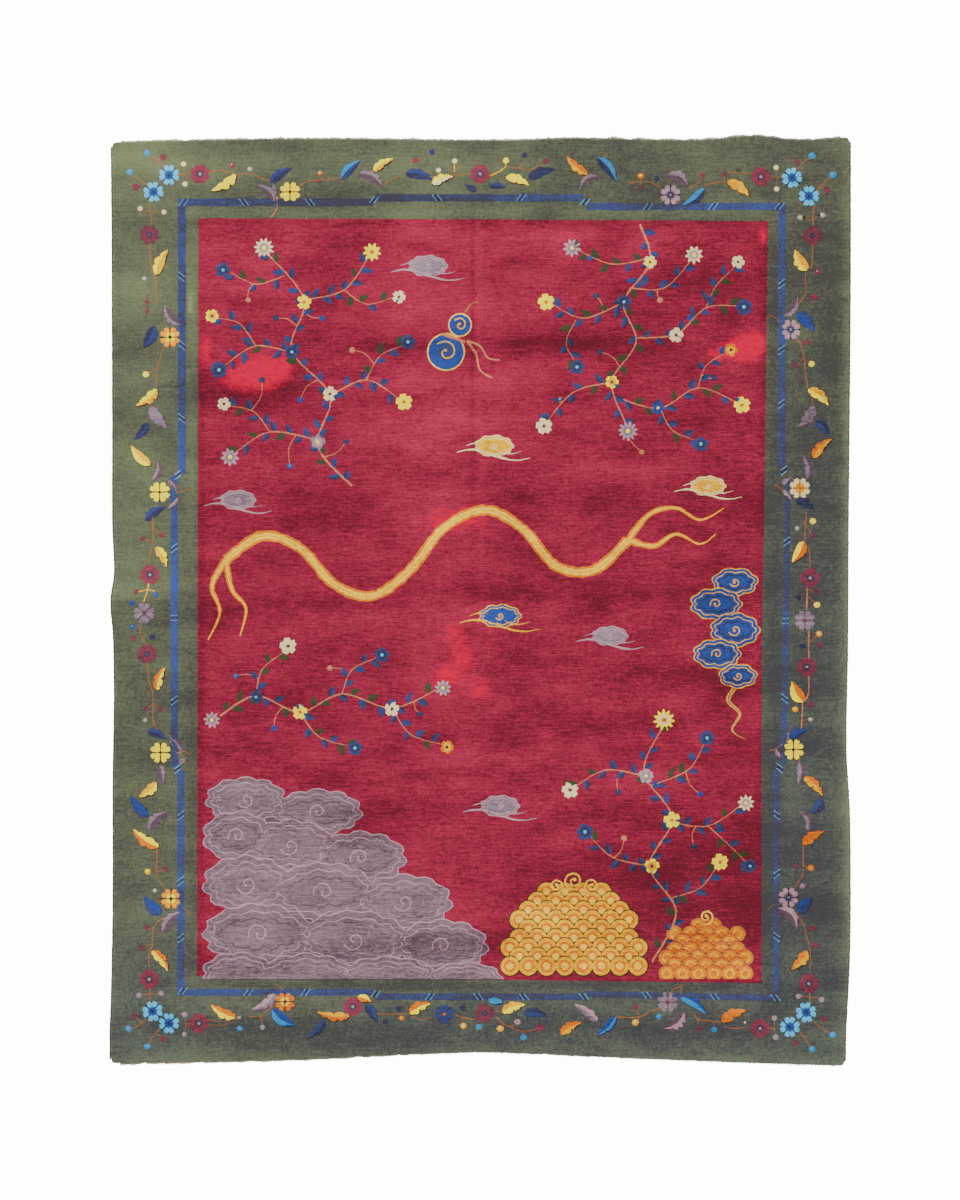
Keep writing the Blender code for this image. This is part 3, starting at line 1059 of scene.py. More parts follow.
DASHES = table(Dash, """
    183.5 202.5 x 1; 244.0 202.3 x -1; 310.0 202.3 x -1; 374.0 200.0 x 1; 437.0 197.8 x -1
    521.0 197.8 x 1; 585.0 202.0 x 1; 648.0 206.5 x 1; 713.0 206.5 x 1; 779.5 206.0 x 1
    781.6 284.0 y 1; 781.6 350.0 y 1; 781.4 404.0 y 1; 784.0 470.5 y 1; 786.8 541.5 y 1
    785.5 621.0 y 0; 784.4 698.5 y -1; 779.6 768.0 y -1; 776.8 815.0 y -1; 776.6 874.0 y 1
    776.6 937.0 y -1; 775.5 997.8 x -1; 714.5 996.4 x -1; 646.5 995.0 x -1; 583.5 996.0 x -1
    524.0 996.8 x -1; 478.5 996.7 x -1; 430.0 996.6 x 1; 375.5 994.0 x 1; 305.5 992.3 x 1
    248.5 992.3 x 1; 182.5 991.0 x 1; 180.9 938.0 y 1; 180.9 881.0 y 1; 180.9 815.5 y 1
    177.6 769.0 y 1; 174.3 700.5 y 1; 174.2 618.0 y 0; 174.2 548.0 y 1; 177.8 475.0 y 1
    181.8 418.5 y -1; 181.8 345.0 y -1; 181.8 277.0 y -1
""")
DASH_WIDTH_PX = 1.1
DASH_APART_PX = 5.0
DASH_REACH_PX = 3.1
DARK_WIDTH_PX = 2.0
DASH_SLANT = 0.75
DASH_TIER = 1.5

dashes = Region("guard_dashes")
for dash in DASHES:
    for offset, width, name in (
        (0.0, DARK_WIDTH_PX, "navy"),
        (-DASH_APART_PX / 2, DASH_WIDTH_PX, "sky"),
        (DASH_APART_PX / 2, DASH_WIDTH_PX, "sky"),
    ):
        if dash.along == "x":
            reach = (DASH_REACH_PX * DASH_SLANT * dash.lean, -DASH_REACH_PX)
            middle = (dash.px + offset, dash.py)
        else:
            reach = (DASH_REACH_PX, -DASH_REACH_PX * DASH_SLANT * dash.lean)
            middle = (dash.px, dash.py + offset)
        start = spot((middle[0] - reach[0], middle[1] - reach[1]))
        end = spot((middle[0] + reach[0], middle[1] + reach[1]))
        ribbon(dashes, [start, end], width * PIXEL, plain(name), DASH_TIER)

GUARD_TONES = table(Patch, """
    180 320 8 90 0.08; 180 450 8 24 0.60; 174 580 8 90 0.50; 180 240 8 30 0.20; 180 270 8 14 -0.20
    180 420 8 12 -0.20; 174 545 8 14 -0.16; 174 640 8 40 0.16; 174 735 8 18 -0.14
    640 206 40 8 -0.12; 560 198 20 8 0.16; 230 202 30 8 0.14; 180 850 8 90 0.14; 480 198 300 8 -0.08
    787 520 8 80 -0.22; 782 320 8 90 0.02; 778 850 8 120 -0.16; 500 995 300 8 -0.20
    420 204 60 8 -0.08; 230 997 60 8 0.14; 620 996 70 8 0.10
""")
guard_stripe = guard.finish(GUARD_TONES)
guard_dashes = dashes.finish(GUARD_TONES)

# %% [markdown]
# ## The flower vine
# In the border's vine no leaf repeats exactly, but its motifs are of a few ordinary kinds:
# lobed leaves in two shades, feathery curls, buds, and rosettes with eight petals in four
# pairs. A short function makes each kind.

# %% Leaves and stems
# The thin dark line on each leaf's lower right: partly an outline in the knots, partly painted shadow.
SHADOW_PX = 0.6
SHADOW_SHIFT = Vector((0.3, -0.35, 0.0)) * PIXEL


def leaf(region, base, tip, width, one, other, form, tier=1.0, shadow="umber", bend=1.0):
    """A leaf in two shades. A thin dark line on its lower right is partly an outline in the knots and
    partly painted shadow. Sizes are in pixels.
    """
    start, end = spot(base), spot(tip)
    wide = width * PIXEL
    form = LEAF_FORMS[form]
    if shadow:
        blade(
            region, start + SHADOW_SHIFT, end + SHADOW_SHIFT, wide, form, plain(shadow), tier - 0.9,
            grow=SHADOW_PX * PIXEL, bend=bend,
        )
    blade(region, start, end, wide, form, halves(one, other), tier, bend=bend)


def stem(region, pixels, name="stem", width=1.35, taper=0.3, tier=0.0):
    """A thin stem through some pixels."""
    points = [spot(pixel) for pixel in pixels]
    ribbon(region, points, width * PIXEL, plain(name), tier, step=0.009, taper=taper, wobble=0.5)


BUD_SHARE = 0.9


def bud(region, row, tier=1.2):
    """A round bud, with a lighter spot where one is named."""
    middle = spot(row.pixel)
    size = BUD_SHARE * row.radius * PIXEL
    disc(region, middle, size, row.wool, tier, squash=0.92, dome=0.5)
    if row.light:
        glint = middle + Vector((-0.12 * size, 0.16 * size, 0.0))
        disc(region, glint, 0.46 * size, row.light, tier + 1.0, cells=3, dome=0.6)


# %% Rosettes
Rosette = namedtuple("Rosette", "wool tips heart eye dark radius core")

MAROON_ROSETTE = Rosette("maroon", "rose", "navy", "grey", "maroon", 10.0, 0.34)
ROSE_ROSETTE = Rosette("rose", "maroon", "navy", "plum", "maroon", 10.1, 0.34)
CYAN_ROSETTE = Rosette("cyan", "ice", "royal", "navy", "navy", 10.2, 0.44)
YELLOW_ROSETTE = Rosette("yellow", "yellow", "umber", None, "umber", 10.5, 0.15)
GOLD_ROSETTE = Rosette("yellow", "amber", "umber", None, "umber", 10.2, 0.17)
ORANGE_ROSETTE = Rosette("sand", "orange", "umber", None, "umber", 10.0, 0.17)
HEART_ROSETTE = Rosette("gold", "ivory", "orange", None, "stem", 10.5, 0.17)
MAUVE_ROSETTE = Rosette("mauve", "mauve", "maroon", None, "plum", 10.4, 0.20)
MAUVE_ROUND = Rosette("mauve", "pink", "navy", "mauve", "navy", 10.2, 0.36)
NAVY_ROSETTE = Rosette("blue", "blue", "orange", None, "navy", 9.8, 0.17)
PETALS = 8
PETAL_PAIR_TURN = math.radians(20)
PETAL_WIDTH = 0.52
BACK_DISC = 0.74
PETAL_GAP_PX = 1.2
ROSETTE_TIER = 1.0


def rosette(region, pixel, kind, turn, tier=ROSETTE_TIER):
    """A flower seen from above: eight petals in four pairs, with dark lines between the pairs."""
    middle = spot(pixel)
    size = kind.radius * PIXEL
    disc(region, middle, BACK_DISC * size, kind.dark, tier - 0.8, cells=6, dome=0.3)
    for i in range(PETALS):
        angle = turn + (i // 2) * math.pi / 2 + (i % 2 - 0.5) * 2 * PETAL_PAIR_TURN
        out = Vector((math.cos(angle), math.sin(angle), 0.0))
        blade(
            region, middle + out * 0.12 * size, middle + out * size, PETAL_WIDTH * size,
            ROSETTE_PETAL, lambda u, v: kind.tips if u > -0.1 else kind.wool, tier + 0.25 * (i % 2),
        )
    for i in range(PETALS // 2):
        angle = turn + (i + 0.5) * math.pi / 2
        out = Vector((math.cos(angle), math.sin(angle), 0.0)) * size
        ribbon(
            region, [middle + out * 0.10, middle + out * 0.50, middle + out * 0.90],
            PETAL_GAP_PX * PIXEL, plain(kind.dark), tier + 1.6, step=0.008, dome=0.3,
        )
    disc(region, middle, kind.core * size, kind.heart, tier + 2.0, cells=4, dome=0.6)
    if kind.eye:
        disc(region, middle, 0.16 * size, kind.eye, tier + 4.5, cells=3, dome=0.5)


print("leaf, stem, bud and rosette are ready")

# %% [markdown]
# ## The top border
# The tables hold what the photograph shows, from left to right: where a leaf starts and ends,
# how wide it is, and its two wools. A leaf's first wool lies on its left as one looks from
# base to tip.

# %% Tables of the top border
Leaf = namedtuple("Leaf", "base tip width one other form bend", defaults=(1,))
Bud = namedtuple("Bud", "pixel wool light radius")
Flower = namedtuple("Flower", "pixel kind turn", defaults=(0.0,))
Twig = namedtuple("Twig", "wool width pixels")


def twig(wool, width, *pixels):
    """A row of a table of twigs, with as many pixels as it needs."""
    return Twig(wool, width, pixels)


DIAGONAL = math.pi / 4
# The wool of each leaf's dark line, which is partly painted shadow.
LEAF_SHADOW_WOOLS = {
    "yellow": "umber", "gold": "umber", "orange": "umber", "cyan": "navy", "royal": "navy",
    "blue": "navy", "pink": "plum", "mauve": "plum",
}

TOP_LEAVES = table(Leaf, """
    236,175 211,191 10.5 yellow yellow oak; 271,182 291,168 9.5 blue navy half
    275,205 254,185 8.5 plum mauve feather -1.4; 274,197 273,183 5.0 mauve mauve plain -1
    341,178.5 360,160.6 9.0 cyan blue plain; 359,173 383,187 10.0 mauve plum feather
    373.5,171 394,158.7 9.0 yellow gold oak; 406,173 431.6,179 10.0 blue navy half
    432,183.6 453,176.6 10.5 yellow ivory oak; 506,177 529,185 10.0 yellow yellow oak
    528.5,178.5 555,169.5 11.0 navy navy half; 587.8,174 566.7,156 9.5 gold orange oak
    598.6,176 579.5,190.6 7.0 plum mauve sickle -1; 598,157.4 616.5,181.7 10.0 cyan navy plain
    668,175 688,185.5 13.0 mauve plum feather 1.2; 704.6,188.7 681,206.5 10.5 navy cyan half
    727.6,181 749,196 11.0 gold gold oak; 490,186 505,187 5.5 blue navy plain
    476,190 465,184 5.0 blue navy plain
""")
TOP_FLOWERS = (
    Flower((169, 175), CYAN_ROSETTE),
    Flower((153.5, 192), CYAN_ROSETTE, 0.1),
    Flower((200, 174), MAROON_ROSETTE, DIAGONAL),
    Flower((290, 192), YELLOW_ROSETTE, DIAGONAL),
    Flower((480, 174), MAROON_ROSETTE),
    Flower((670.5, 195), MAUVE_ROUND, DIAGONAL),
    Flower((760.8, 177), MAROON_ROSETTE),
    Flower((792, 177.8), CYAN_ROSETTE, 0.15),
    Flower((809, 196), CYAN_ROSETTE),
)
TOP_BUDS = table(Bud, """
    147,153 cyan sky 3.8; 130,172 cyan sky 3.8; 163,157 maroon - 4.2; 136,187 maroon - 4.2
    183.5,164 ivory - 3.0; 185,184 ivory - 3.0; 232,165 rose pink 3.2; 250,169 pink ivory 2.8
    320,173 orange ivory 2.6; 319,181 maroon - 2.6; 415.6,160.6 rose - 3.4; 432,152 navy blue 3.4
    438.6,170 ivory - 2.8; 454.5,161 ivory yellow 3.0; 506,160.6 yellow ivory 3.4
    524.6,155 navy - 3.2; 545.7,161 maroon - 3.4; 640.7,176 orange yellow 3.6; 657,179 navy - 3.0
    640.5,187 maroon - 2.4; 702.7,175 maroon rose 3.0; 723.8,174 maroon - 3.2; 738.5,171 olive - 2.8
    776,167.6 ivory - 3.0; 776.7,189 ivory - 3.0; 811.8,155.5 cyan sky 4.2; 832.8,175 cyan sky 4.2
    796.5,162 maroon - 3.6; 827,190 maroon - 3.8
""")
TOP_TWIGS = table(twig, """
    stem 1.2 163,166 157,160 149,155; stem 1.2 148,186 140,180 131,174; stem 1.0 158,163 161,158
    stem 1.0 143,183 137,186; stem 1.1 179,175 191,174; stem 1.0 184,166 184,182
    stem 1.2 210,172.5 222,170.5 234,173; stem 1.0 227,171 231,167
    stem 1.2 237,175 250,173.5 262,178 270,182; coral 1.4 277,196 277,208 271,217
    stem 1.3 300,186 308,181 322,180 335,179 342,177; stem 1.2 320,180 320,175
    stem 1.2 383,187 390,180 400,176; stem 1.2 430,177 440,176 455,175 470,175
    gold 1.2 454.5,163 454.5,172; stem 1.0 447,167 454,171 462,166
    gold 1.3 490,176 500,171 506,166 506,162; stem 1.2 507,167 518,168 524,160
    stem 1.1 519,168 530,170 544,163; stem 1.1 584,170 582,178 590,180
    stem 1.3 629,183 638,181.5 650,182 661,188; stem 1.1 640.5,178 640.5,185
    stem 1.2 677,200 680,207 683,212; stem 1.3 690,188 700,182 702,177
    stem 1.3 704,185 714,183 722,182 728,182; stem 1.0 724,176 724,181
    stem 1.0 727,172 735,172.5 751,174; stem 1.1 771,177 782,177; stem 1.0 776.3,170 776.3,186
    stem 1.3 797,170 803,163 810,157; stem 1.3 817,190 825,182 831,176
""")


def vine(name, leaves, flowers, buds, twigs):
    """One side of the border as a piece, with all its motifs."""
    region = Region(name)
    for row in twigs:
        stem(region, row.pixels, row.wool, row.width)
    for row in leaves:
        leaf(
            region, row.base, row.tip, row.width, row.one, row.other, row.form,
            shadow=LEAF_SHADOW_WOOLS.get(row.one), bend=row.bend,
        )
    for row in flowers:
        rosette(region, row.pixel, row.kind, row.turn)
    for row in buds:
        bud(region, row)
    return region.finish()


vine_top = vine("vine_top", TOP_LEAVES, TOP_FLOWERS, TOP_BUDS, TOP_TWIGS)

# %% [markdown]
# ## The left border
# The same kinds of motif climb the left side. Here the vine crosses the guard stripe twice,
# with a mauve curl and a fine twig.

# %% Tables of the left border
LEFT_LEAVES = table(Leaf, """
    155.9,274.8 168,250 11.0 yellow gold half; 179.5,325 165,305.2 10.0 mauve plum feather
    154.2,326.4 143.4,347.5 11.0 blue navy plain; 157.5,389.5 136.3,405.8 11.0 gold yellow oak
    149.9,407 166.7,428 12.0 mauve mauve oak -0.6; 147.7,423 134.2,438.9 7.5 blue navy plain
    150.4,465.4 130.9,445.4 10.0 yellow gold plain; 153,480 157.5,461 6.5 mauve plum sickle -1
    145.6,519.7 165,506.7 9.5 blue navy half; 156,547 166.5,567 10.0 yellow gold oak
    156.4,690 165,667.4 10.0 orange yellow oak; 147.7,730.6 165,738.7 8.5 blue navy half
    159.5,765 163,783 8.5 mauve plum oak 0.4; 156.4,782.7 139,797 11.0 yellow gold oak
    147.7,816 130.4,796 10.5 blue royal half; 148.8,830 166.5,812 10.5 mauve plum feather
    158.6,847.2 133,829.3 12.0 orange yellow oak; 160.7,914.2 144.5,896.3 11.0 blue royal plain
    163,932 182,911.5 11.0 mauve plum feather; 152,950.5 168.1,970.9 10.0 orange yellow oak
    177,493 168,479.5 5.5 mauve plum sickle -0.8; 177.5,498 168,508.5 5.5 mauve pink sickle 0.5
    182.5,751 169.5,737 6.0 mauve plum sickle -0.5
""")
LEFT_FLOWERS = (
    Flower((149.3, 234.7), ROSE_ROSETTE, DIAGONAL),
    Flower((170, 337.2), GOLD_ROSETTE, DIAGONAL),
    Flower((159.7, 492), YELLOW_ROSETTE, DIAGONAL),
    Flower((150, 574.7), MAROON_ROSETTE),
    Flower((144.5, 613.2), MAUVE_ROSETTE),
    Flower((147.2, 653.9), ROSE_ROSETTE),
    Flower((160.5, 752.6), YELLOW_ROSETTE, DIAGONAL),
    Flower((171, 898.7), GOLD_ROSETTE, DIAGONAL),
    Flower((149.3, 979.2), MAROON_ROSETTE),
    Flower((152.6, 1011.2), CYAN_ROSETTE, 0.1),
    Flower((168.9, 1023.4), CYAN_ROSETTE),
)
LEFT_BUDS = table(Bud, """
    140.3,208.7 ivory - 2.8; 164,212 ivory - 2.8; 144.3,278.6 grey ivory 2.4; 147,302 maroon - 2.6
    147,311 maroon - 2.8; 145.9,374.3 yellow ivory 3.6; 142.8,538.6 maroon rose 2.8
    161.3,534.9 rose - 3.0; 136.3,591.5 maroon rose 3.0; 155.9,594.8 royal cyan 2.8
    132.5,603 royal - 3.2; 132.5,626.8 royal cyan 3.0; 133.6,638.7 maroon - 3.2; 152,637 navy - 3.2
    146.3,709 maroon - 3.0; 160.2,709 maroon - 3.0; 145,720 grey - 2.6; 182,761 mauve - 3.4
    147.7,871.6 gold yellow 3.4; 166.2,869 maroon - 3.4; 154.8,890.6 grey ivory 2.6
    146.6,927.2 maroon - 3.0; 142.3,948.3 maroon rose 3.0; 139,995.2 mauve pink 3.2
    161.3,993 mauve pink 3.2; 134.7,1015.6 maroon - 3.6; 162.9,1038.4 maroon - 3.6
    128.4,1028.6 cyan sky 3.6; 147.4,1046.2 cyan sky 3.6
""")
LEFT_TWIGS = table(twig, """
    stem 1.6 149.5,203 150.5,212 152,224; stem 1.0 142,210 150,212 162,212
    stem 1.5 150,245 151.5,269 156,280 157,304; maroon 1.3 147,294 147.5,304 147,316
    stem 1.3 165,346.4 158.6,362.7 155.9,388; stem 1.0 157,368 148,374
    stem 1.2 157,391 152,400 150,409; stem 1.2 169,481 176,492 188,490 192,487
    stem 1.4 152,512 152.6,522 153,539 148,566; stem 1.0 153,528 161,534; stem 1.0 152.5,541 144,539
    gold 1.4 149,583 147,592 144,602; gold 1.0 138,592 147,590 155,591
    stem 1.3 141,625 140,632 147,645; stem 1.4 147.2,664 148.8,681 153,695 153,721 158.6,730.6
    stem 1.0 153,703 160,708; stem 1.0 153,704 147,709; mauve 1.6 170,740 177,753 184,751
    stem 1.1 176,753 184,751 191,756; stem 1.1 178,753 184,757 186,764
    stem 1.4 157,848 157,872 159,880 166,890; stem 1.0 157,866 149,871; stem 1.0 158,872 165,870
    stem 1.1 179,904 186,910 192,914; stem 1.4 164,917 154,927 152,947 149.3,950 148.8,967
    stem 1.0 154,930 147,928; stem 1.0 151,944 143,948; stem 1.6 149.7,988 149.9,1002
    stem 1.0 141,995 150,994 160,993.5; stem 1.3 147,1018 138,1026 131,1029
    stem 1.0 141,1022 135,1017; stem 1.3 160,1029 153,1036 149,1043; stem 1.0 156,1034 162,1037
""")

vine_left = vine("vine_left", LEFT_LEAVES, LEFT_FLOWERS, LEFT_BUDS, LEFT_TWIGS)

# %% [markdown]
# ## The right border
# The right side mirrors the left one loosely: its leaves are broader, and its yellows turn to
# orange further down.

# %% Tables of the right border
RIGHT_LEAVES = table(Leaf, """
    806.9,270.5 795.2,249.9 12.5 yellow gold half; 780.2,316.1 797.6,294.8 8.0 plum mauve sickle -1
    797.4,312.8 814.2,331.2 12.0 blue royal half; 808.3,389 828.9,405.2 11.0 gold yellow oak
    814.5,407 799.2,427 12.0 mauve mauve oak 0.6; 815.9,421 829.4,435.1 10.0 navy blue plain
    812.6,457.9 831.6,438.9 10.0 orange gold half; 808,479 802.3,454.6 8.5 mauve plum sickle -0.8
    783,484.5 790.5,477.5 5.0 mauve pink plain; 783.3,490.4 791.5,500 5.5 mauve pink plain
    795.8,499.6 814.2,509.9 10.5 navy navy half; 803.9,541.6 792,562.8 11.5 orange yellow plain
    803.4,702.7 792,681.5 13.0 yellow orange plain; 789.3,736 807.2,729.5 9.5 blue royal half
    799.6,763.1 797.4,784.8 10.0 plum mauve feather; 804.5,777.2 822.9,795.7 10.0 orange gold oak
    822.4,799.5 812.1,814.1 11.0 navy blue plain; 808.6,831 799,811 8.5 mauve plum sickle -1.2
    802.8,844.5 824,831.5 11.0 orange orange oak; 799,912.5 812.1,897.9 11.0 royal blue plain
    777.4,908.2 796.9,929.9 11.5 pink plum sickle; 807.2,951 791.5,969.5 11.5 gold orange oak
    780,757 775,749 5.0 mauve pink plain
""")
RIGHT_FLOWERS = (
    Flower((812.3, 235.6), ROSE_ROSETTE),
    Flower((790.7, 329.6), MAUVE_ROUND, DIAGONAL),
    Flower((799.8, 488.2), HEART_ROSETTE, DIAGONAL),
    Flower((810.1, 578), MAROON_ROSETTE),
    Flower((804.8, 620.6), MAUVE_ROSETTE, DIAGONAL),
    Flower((806.9, 666.9), MAROON_ROSETTE),
    Flower((793.4, 749.6), YELLOW_ROSETTE, DIAGONAL),
    Flower((788.5, 897.4), MAUVE_ROUND, DIAGONAL),
    Flower((808.8, 983.6), MAROON_ROSETTE),
    Flower((806.1, 1012.3), CYAN_ROSETTE, 0.1),
    Flower((789.8, 1027), CYAN_ROSETTE),
)
RIGHT_BUDS = table(Bud, """
    800.2,217.4 grey ivory 3.2; 803.9,217.4 umber - 1.8; 822.6,215.2 grey ivory 3.2
    818.8,215.4 umber - 1.8; 817.5,271.6 rose pink 3.4; 813.9,296.9 rose - 4.0
    807,342.1 maroon rose 3.6; 795.2,365.4 maroon rose 3.2; 811.5,363.8 yellow ivory 3.6
    812.8,521 yellow ivory 3.6; 797.1,528.4 grey ivory 2.8; 812.1,536 maroon - 3.4
    816.9,591.5 maroon - 3.2; 816.9,604.9 yellow ivory 3.6; 798.5,597.5 navy - 3.2
    818.8,633.8 gold ivory 3.6; 819.7,645.2 maroon - 3.6; 802.8,646.3 navy - 3.2
    795.2,709.4 gold yellow 3.6; 810.4,704.3 maroon - 3.6; 810.4,719.5 grey ivory 2.8
    810.8,867.8 orange gold 3.8; 795.8,866.2 maroon - 3.2; 802.6,886 mauve pink 3.4
    812.1,928.3 rose - 3.2; 815.5,945.1 rose - 3.2; 798.5,996.3 grey - 3.2; 821.5,999.6 grey - 3.2
    824.5,1019.4 maroon rose 3.6; 795.2,1043.2 maroon - 3.8; 832.7,1034.6 cyan sky 3.8
    812.1,1049.2 cyan sky 3.8
""")
RIGHT_TWIGS = table(twig, """
    stem 1.6 814.2,206 813,218 813.4,226; stem 1.0 805,219 813,219.5 818,216
    stem 1.5 812.6,244 811.8,265 806,272 805.8,294.4; stem 1.4 805.8,294.4 802.8,298.2 798.5,304.7
    stem 1.3 768,315.5 774,316.6 781,324.7
    stem 1.4 796.3,338.3 800.7,344.8 803.9,357.3 805,370 807.7,388; stem 1.0 803.9,357.3 798,364
    stem 1.0 803.9,357.3 810,363; stem 1.2 812,398 813,407; stem 1.2 774,484.4 780.6,488.2 784,492
    stem 1.4 806.1,512 805.6,527.3 805,542 809.4,552 809.9,568.7; stem 1.0 805.5,521 800,527
    stem 1.0 805.6,524 811,534; coral 1.8 807.2,588.3 806.6,610; stem 1.1 807.5,588.8 814.2,592.6
    stem 1.1 807.7,596.4 814.5,602.3; coral 1.7 808.6,631 808.8,658.8; stem 1.1 809.4,643 817.5,635
    coral 1.7 808.8,674.5 808.3,694 802.8,703.2 802.6,710 801.2,729; stem 1.0 802.5,721 809,719
    mauve 1.8 788.7,732.8 786,741.5 774,749.6; coral 1.2 774,749.6 769.2,750.7
    stem 1.2 799.6,757.7 799,763.1; stem 1.2 803,772 804.5,778
    stem 1.4 803.4,845.6 803.4,867.3 802.8,875 799,881 794.7,888; stem 1.0 803.4,866 810,868
    stem 1.2 767.6,910 774.1,904.4 779,905
    stem 1.3 794.7,911.5 803.4,924.5 806.6,936.4 809.9,949.4 810.4,973.3
    stem 1.6 809.9,992.8 809.9,1002; stem 1.0 800,996 810,997 820,999
    stem 1.3 813.7,1020.5 818.6,1025.9 829.4,1032.9; stem 1.3 799.6,1032.9 804,1037 809.5,1046
""")

vine_right = vine("vine_right", RIGHT_LEAVES, RIGHT_FLOWERS, RIGHT_BUDS, RIGHT_TWIGS)

# %% [markdown]
# ## The bottom border
# The bottom has the warmest oranges, and the ground behind it is greyer.

# %% Tables of the bottom border
BOTTOM_LEAVES = table(Leaf, """
    235.8,1017.4 211,1004.7 11.0 yellow orange oak; 276,991 251.8,1009.8 11.0 mauve pink feather
    272,1009.5 295,1025 12.0 royal cyan plain -1.6; 325.3,1019.7 306.9,1038.7 9.0 navy blue half
    350,1015.9 317.2,1012.1 9.5 orange gold oak; 357.4,996.9 371.5,1001.8 8.5 yellow orange plain
    365.5,1005 376.9,1022.4 9.0 blue navy plain; 409.4,1013.2 430.6,1003.4 11.5 orange yellow oak
    488.6,999.1 502.7,1002.9 9.0 cyan cyan plain; 502.2,1012.1 524.9,1004.5 11.5 gold yellow oak
    523.9,1012.7 547.7,1016.5 10.5 navy blue half; 560.7,1033.8 581.3,1022.4 10.5 orange gold oak
    597.6,1021.3 574.3,1004 9.0 mauve pink oak -0.6; 615.5,1016.5 597.1,1034.9 9.0 cyan royal half
    683.9,1013.2 663.9,1028.4 13.5 pink plum feather; 680.1,995.8 706.2,1013.7 10.5 royal cyan half
    721.3,1021.3 746.3,1010.5 11.5 orange orange oak
""")
BOTTOM_FLOWERS = (
    Flower((198.8, 1023.3), MAROON_ROSETTE),
    Flower((285, 1001.5), ORANGE_ROSETTE, DIAGONAL),
    Flower((352.8, 1006.7), MAROON_ROSETTE),
    Flower((444.3, 1014.1), NAVY_ROSETTE),
    Flower((484.6, 1013.2), ROSE_ROSETTE, 0.3),
    Flower((667.7, 1002.1), MAUVE_ROSETTE, DIAGONAL),
    Flower((760.1, 1028.4), MAROON_ROSETTE),
)
BOTTOM_BUDS = table(Bud, """
    184.6,1014.7 mauve pink 3.6; 184.4,1034.2 mauve ivory 3.2; 239,1017.4 pink - 2.2
    239.7,1028.3 cyan sky 3.4; 262.4,1027 grey - 3.0; 385.6,1021.3 navy - 3.2
    398.6,1008.3 navy - 3.4; 401.6,1018 orange gold 3.0; 463.4,1025.7 gold ivory 3.6
    462.6,1007.8 navy - 3.4; 478.8,1026.8 cyan - 3.4; 500.3,1028.4 gold ivory 4.0
    517.4,1021.9 pink mauve 3.4; 539.8,1027.6 rose - 4.0; 523.5,1037.3 cyan - 3.6
    635.4,1022.4 gold ivory 3.8; 635.6,1007.2 maroon rose 3.4; 658.7,1016.5 cyan sky 3.2
    698.6,1028.4 maroon - 3.6; 714.1,1029.5 cyan - 3.4; 744.7,1022.4 ivory - 1.3
    774.5,1018.1 grey - 3.2; 775.6,1037.1 grey - 3.2
""")
BOTTOM_TWIGS = table(twig, """
    stem 1.2 184.5,1018 186,1024 184.5,1031; stem 1.1 186,1024 191,1023.5
    stem 0.9 207,1019.5 222,1021.5 236,1018.5; stem 0.9 207,1024 222,1025.5 232,1022 239,1018
    stem 1.4 275,984 281,988 283,993; stem 1.3 274.7,1005.3 262,1015.5 262.6,1025
    stem 0.9 248,1016 256,1017 262,1016; stem 1.5 377.4,1013.7 392,1014.3 409.4,1013.4
    stem 1.1 411.6,1016.5 422.4,1019.7 432.2,1017; stem 1.3 455.5,1014.3 462.6,1017.5 475,1019.7
    stem 1.0 462,1017.5 463,1022; stem 1.1 495.1,1009.9 502.2,1013.2
    stem 1.3 495.6,1016.5 502.7,1023.5 509,1026.5 521.7,1031 536.3,1029.5
    stem 1.0 522,1031 523.5,1034; stem 1.0 510,1026.5 515,1024
    stem 1.5 616,1016.7 629,1017.5 641,1016.5 651,1011 662,1007.8; stem 1.2 640,1017 636.5,1020
    stem 1.0 639,1016 637,1010; stem 1.4 683.4,985 675,989 666,996; stem 1.2 681.2,986 681.2,994
    stem 1.3 694.2,1013.7 698.6,1019.7 710,1021 721,1022; stem 1.0 698.4,1020 698.2,1025
    stem 1.0 713,1021.5 714,1026; stem 1.0 723.5,1026.8 735.4,1028.4 750,1026.5
    stem 1.3 768,1028 774.5,1029 775,1034; stem 1.0 774.5,1029 774.5,1021
""")

vine_bottom = vine("vine_bottom", BOTTOM_LEAVES, BOTTOM_FLOWERS, BOTTOM_BUDS, BOTTOM_TWIGS)

# %% [markdown]
# ## Clouds and waves in the field
# Carpets of this kind carry stock ornaments on a bare ground: banks of cloud, scale
# waves and flower sprays. A cloud is an oval with a scalloped edge. Lines inside it follow the
# edge, and a curl winds in to its middle. Clouds nearer the reader are laid a little higher,
# so that their edges cover the ones behind.

# %% Clouds and curls
FLAT_DOME = 0.12
CLOUD_LINE_PX = 1.2
SCALLOP_DEPTH = 0.13
SCALLOP_CELLS = 10


def scallop(region, middle, half_x, half_y, bumps, turn, inset, name, tier):
    """An oval patch whose edge swells in round bumps. An inset draws the whole edge in."""

    def shape(u, v):
        x, y = in_circle(u, v)
        swell = abs(math.cos(bumps * math.atan2(y, x) / 2 + turn))
        bump = 1 - SCALLOP_DEPTH + SCALLOP_DEPTH * swell
        crown = FLAT_DOME * max(0.0, 1 - x * x - y * y)
        return middle.x + x * (half_x * bump - inset), middle.y + y * (half_y * bump - inset), crown

    region.patch((SCALLOP_CELLS, SCALLOP_CELLS), shape, plain(name), tier)


def curl(region, pixel, radius, name, start, hand, tier, turns=1.5, width=1.4):
    """A line that winds in to a round end."""
    points = []
    count = round(9 * turns)
    for i in range(count + 1):
        share = i / count
        angle = start + hand * share * turns * 2 * math.pi
        reach = radius * (1 - 0.84 * share)
        points.append(spot((pixel[0] + reach * math.cos(angle), pixel[1] - reach * math.sin(angle))))
    ribbon(region, points, width * PIXEL, plain(name), tier, step=0.008, dome=0.4)
    disc(region, points[-1], width * PIXEL, name, tier + 0.3, cells=3, dome=0.4)


Cloud = namedtuple("Cloud", "px py half_x half_y bumps tier hand")


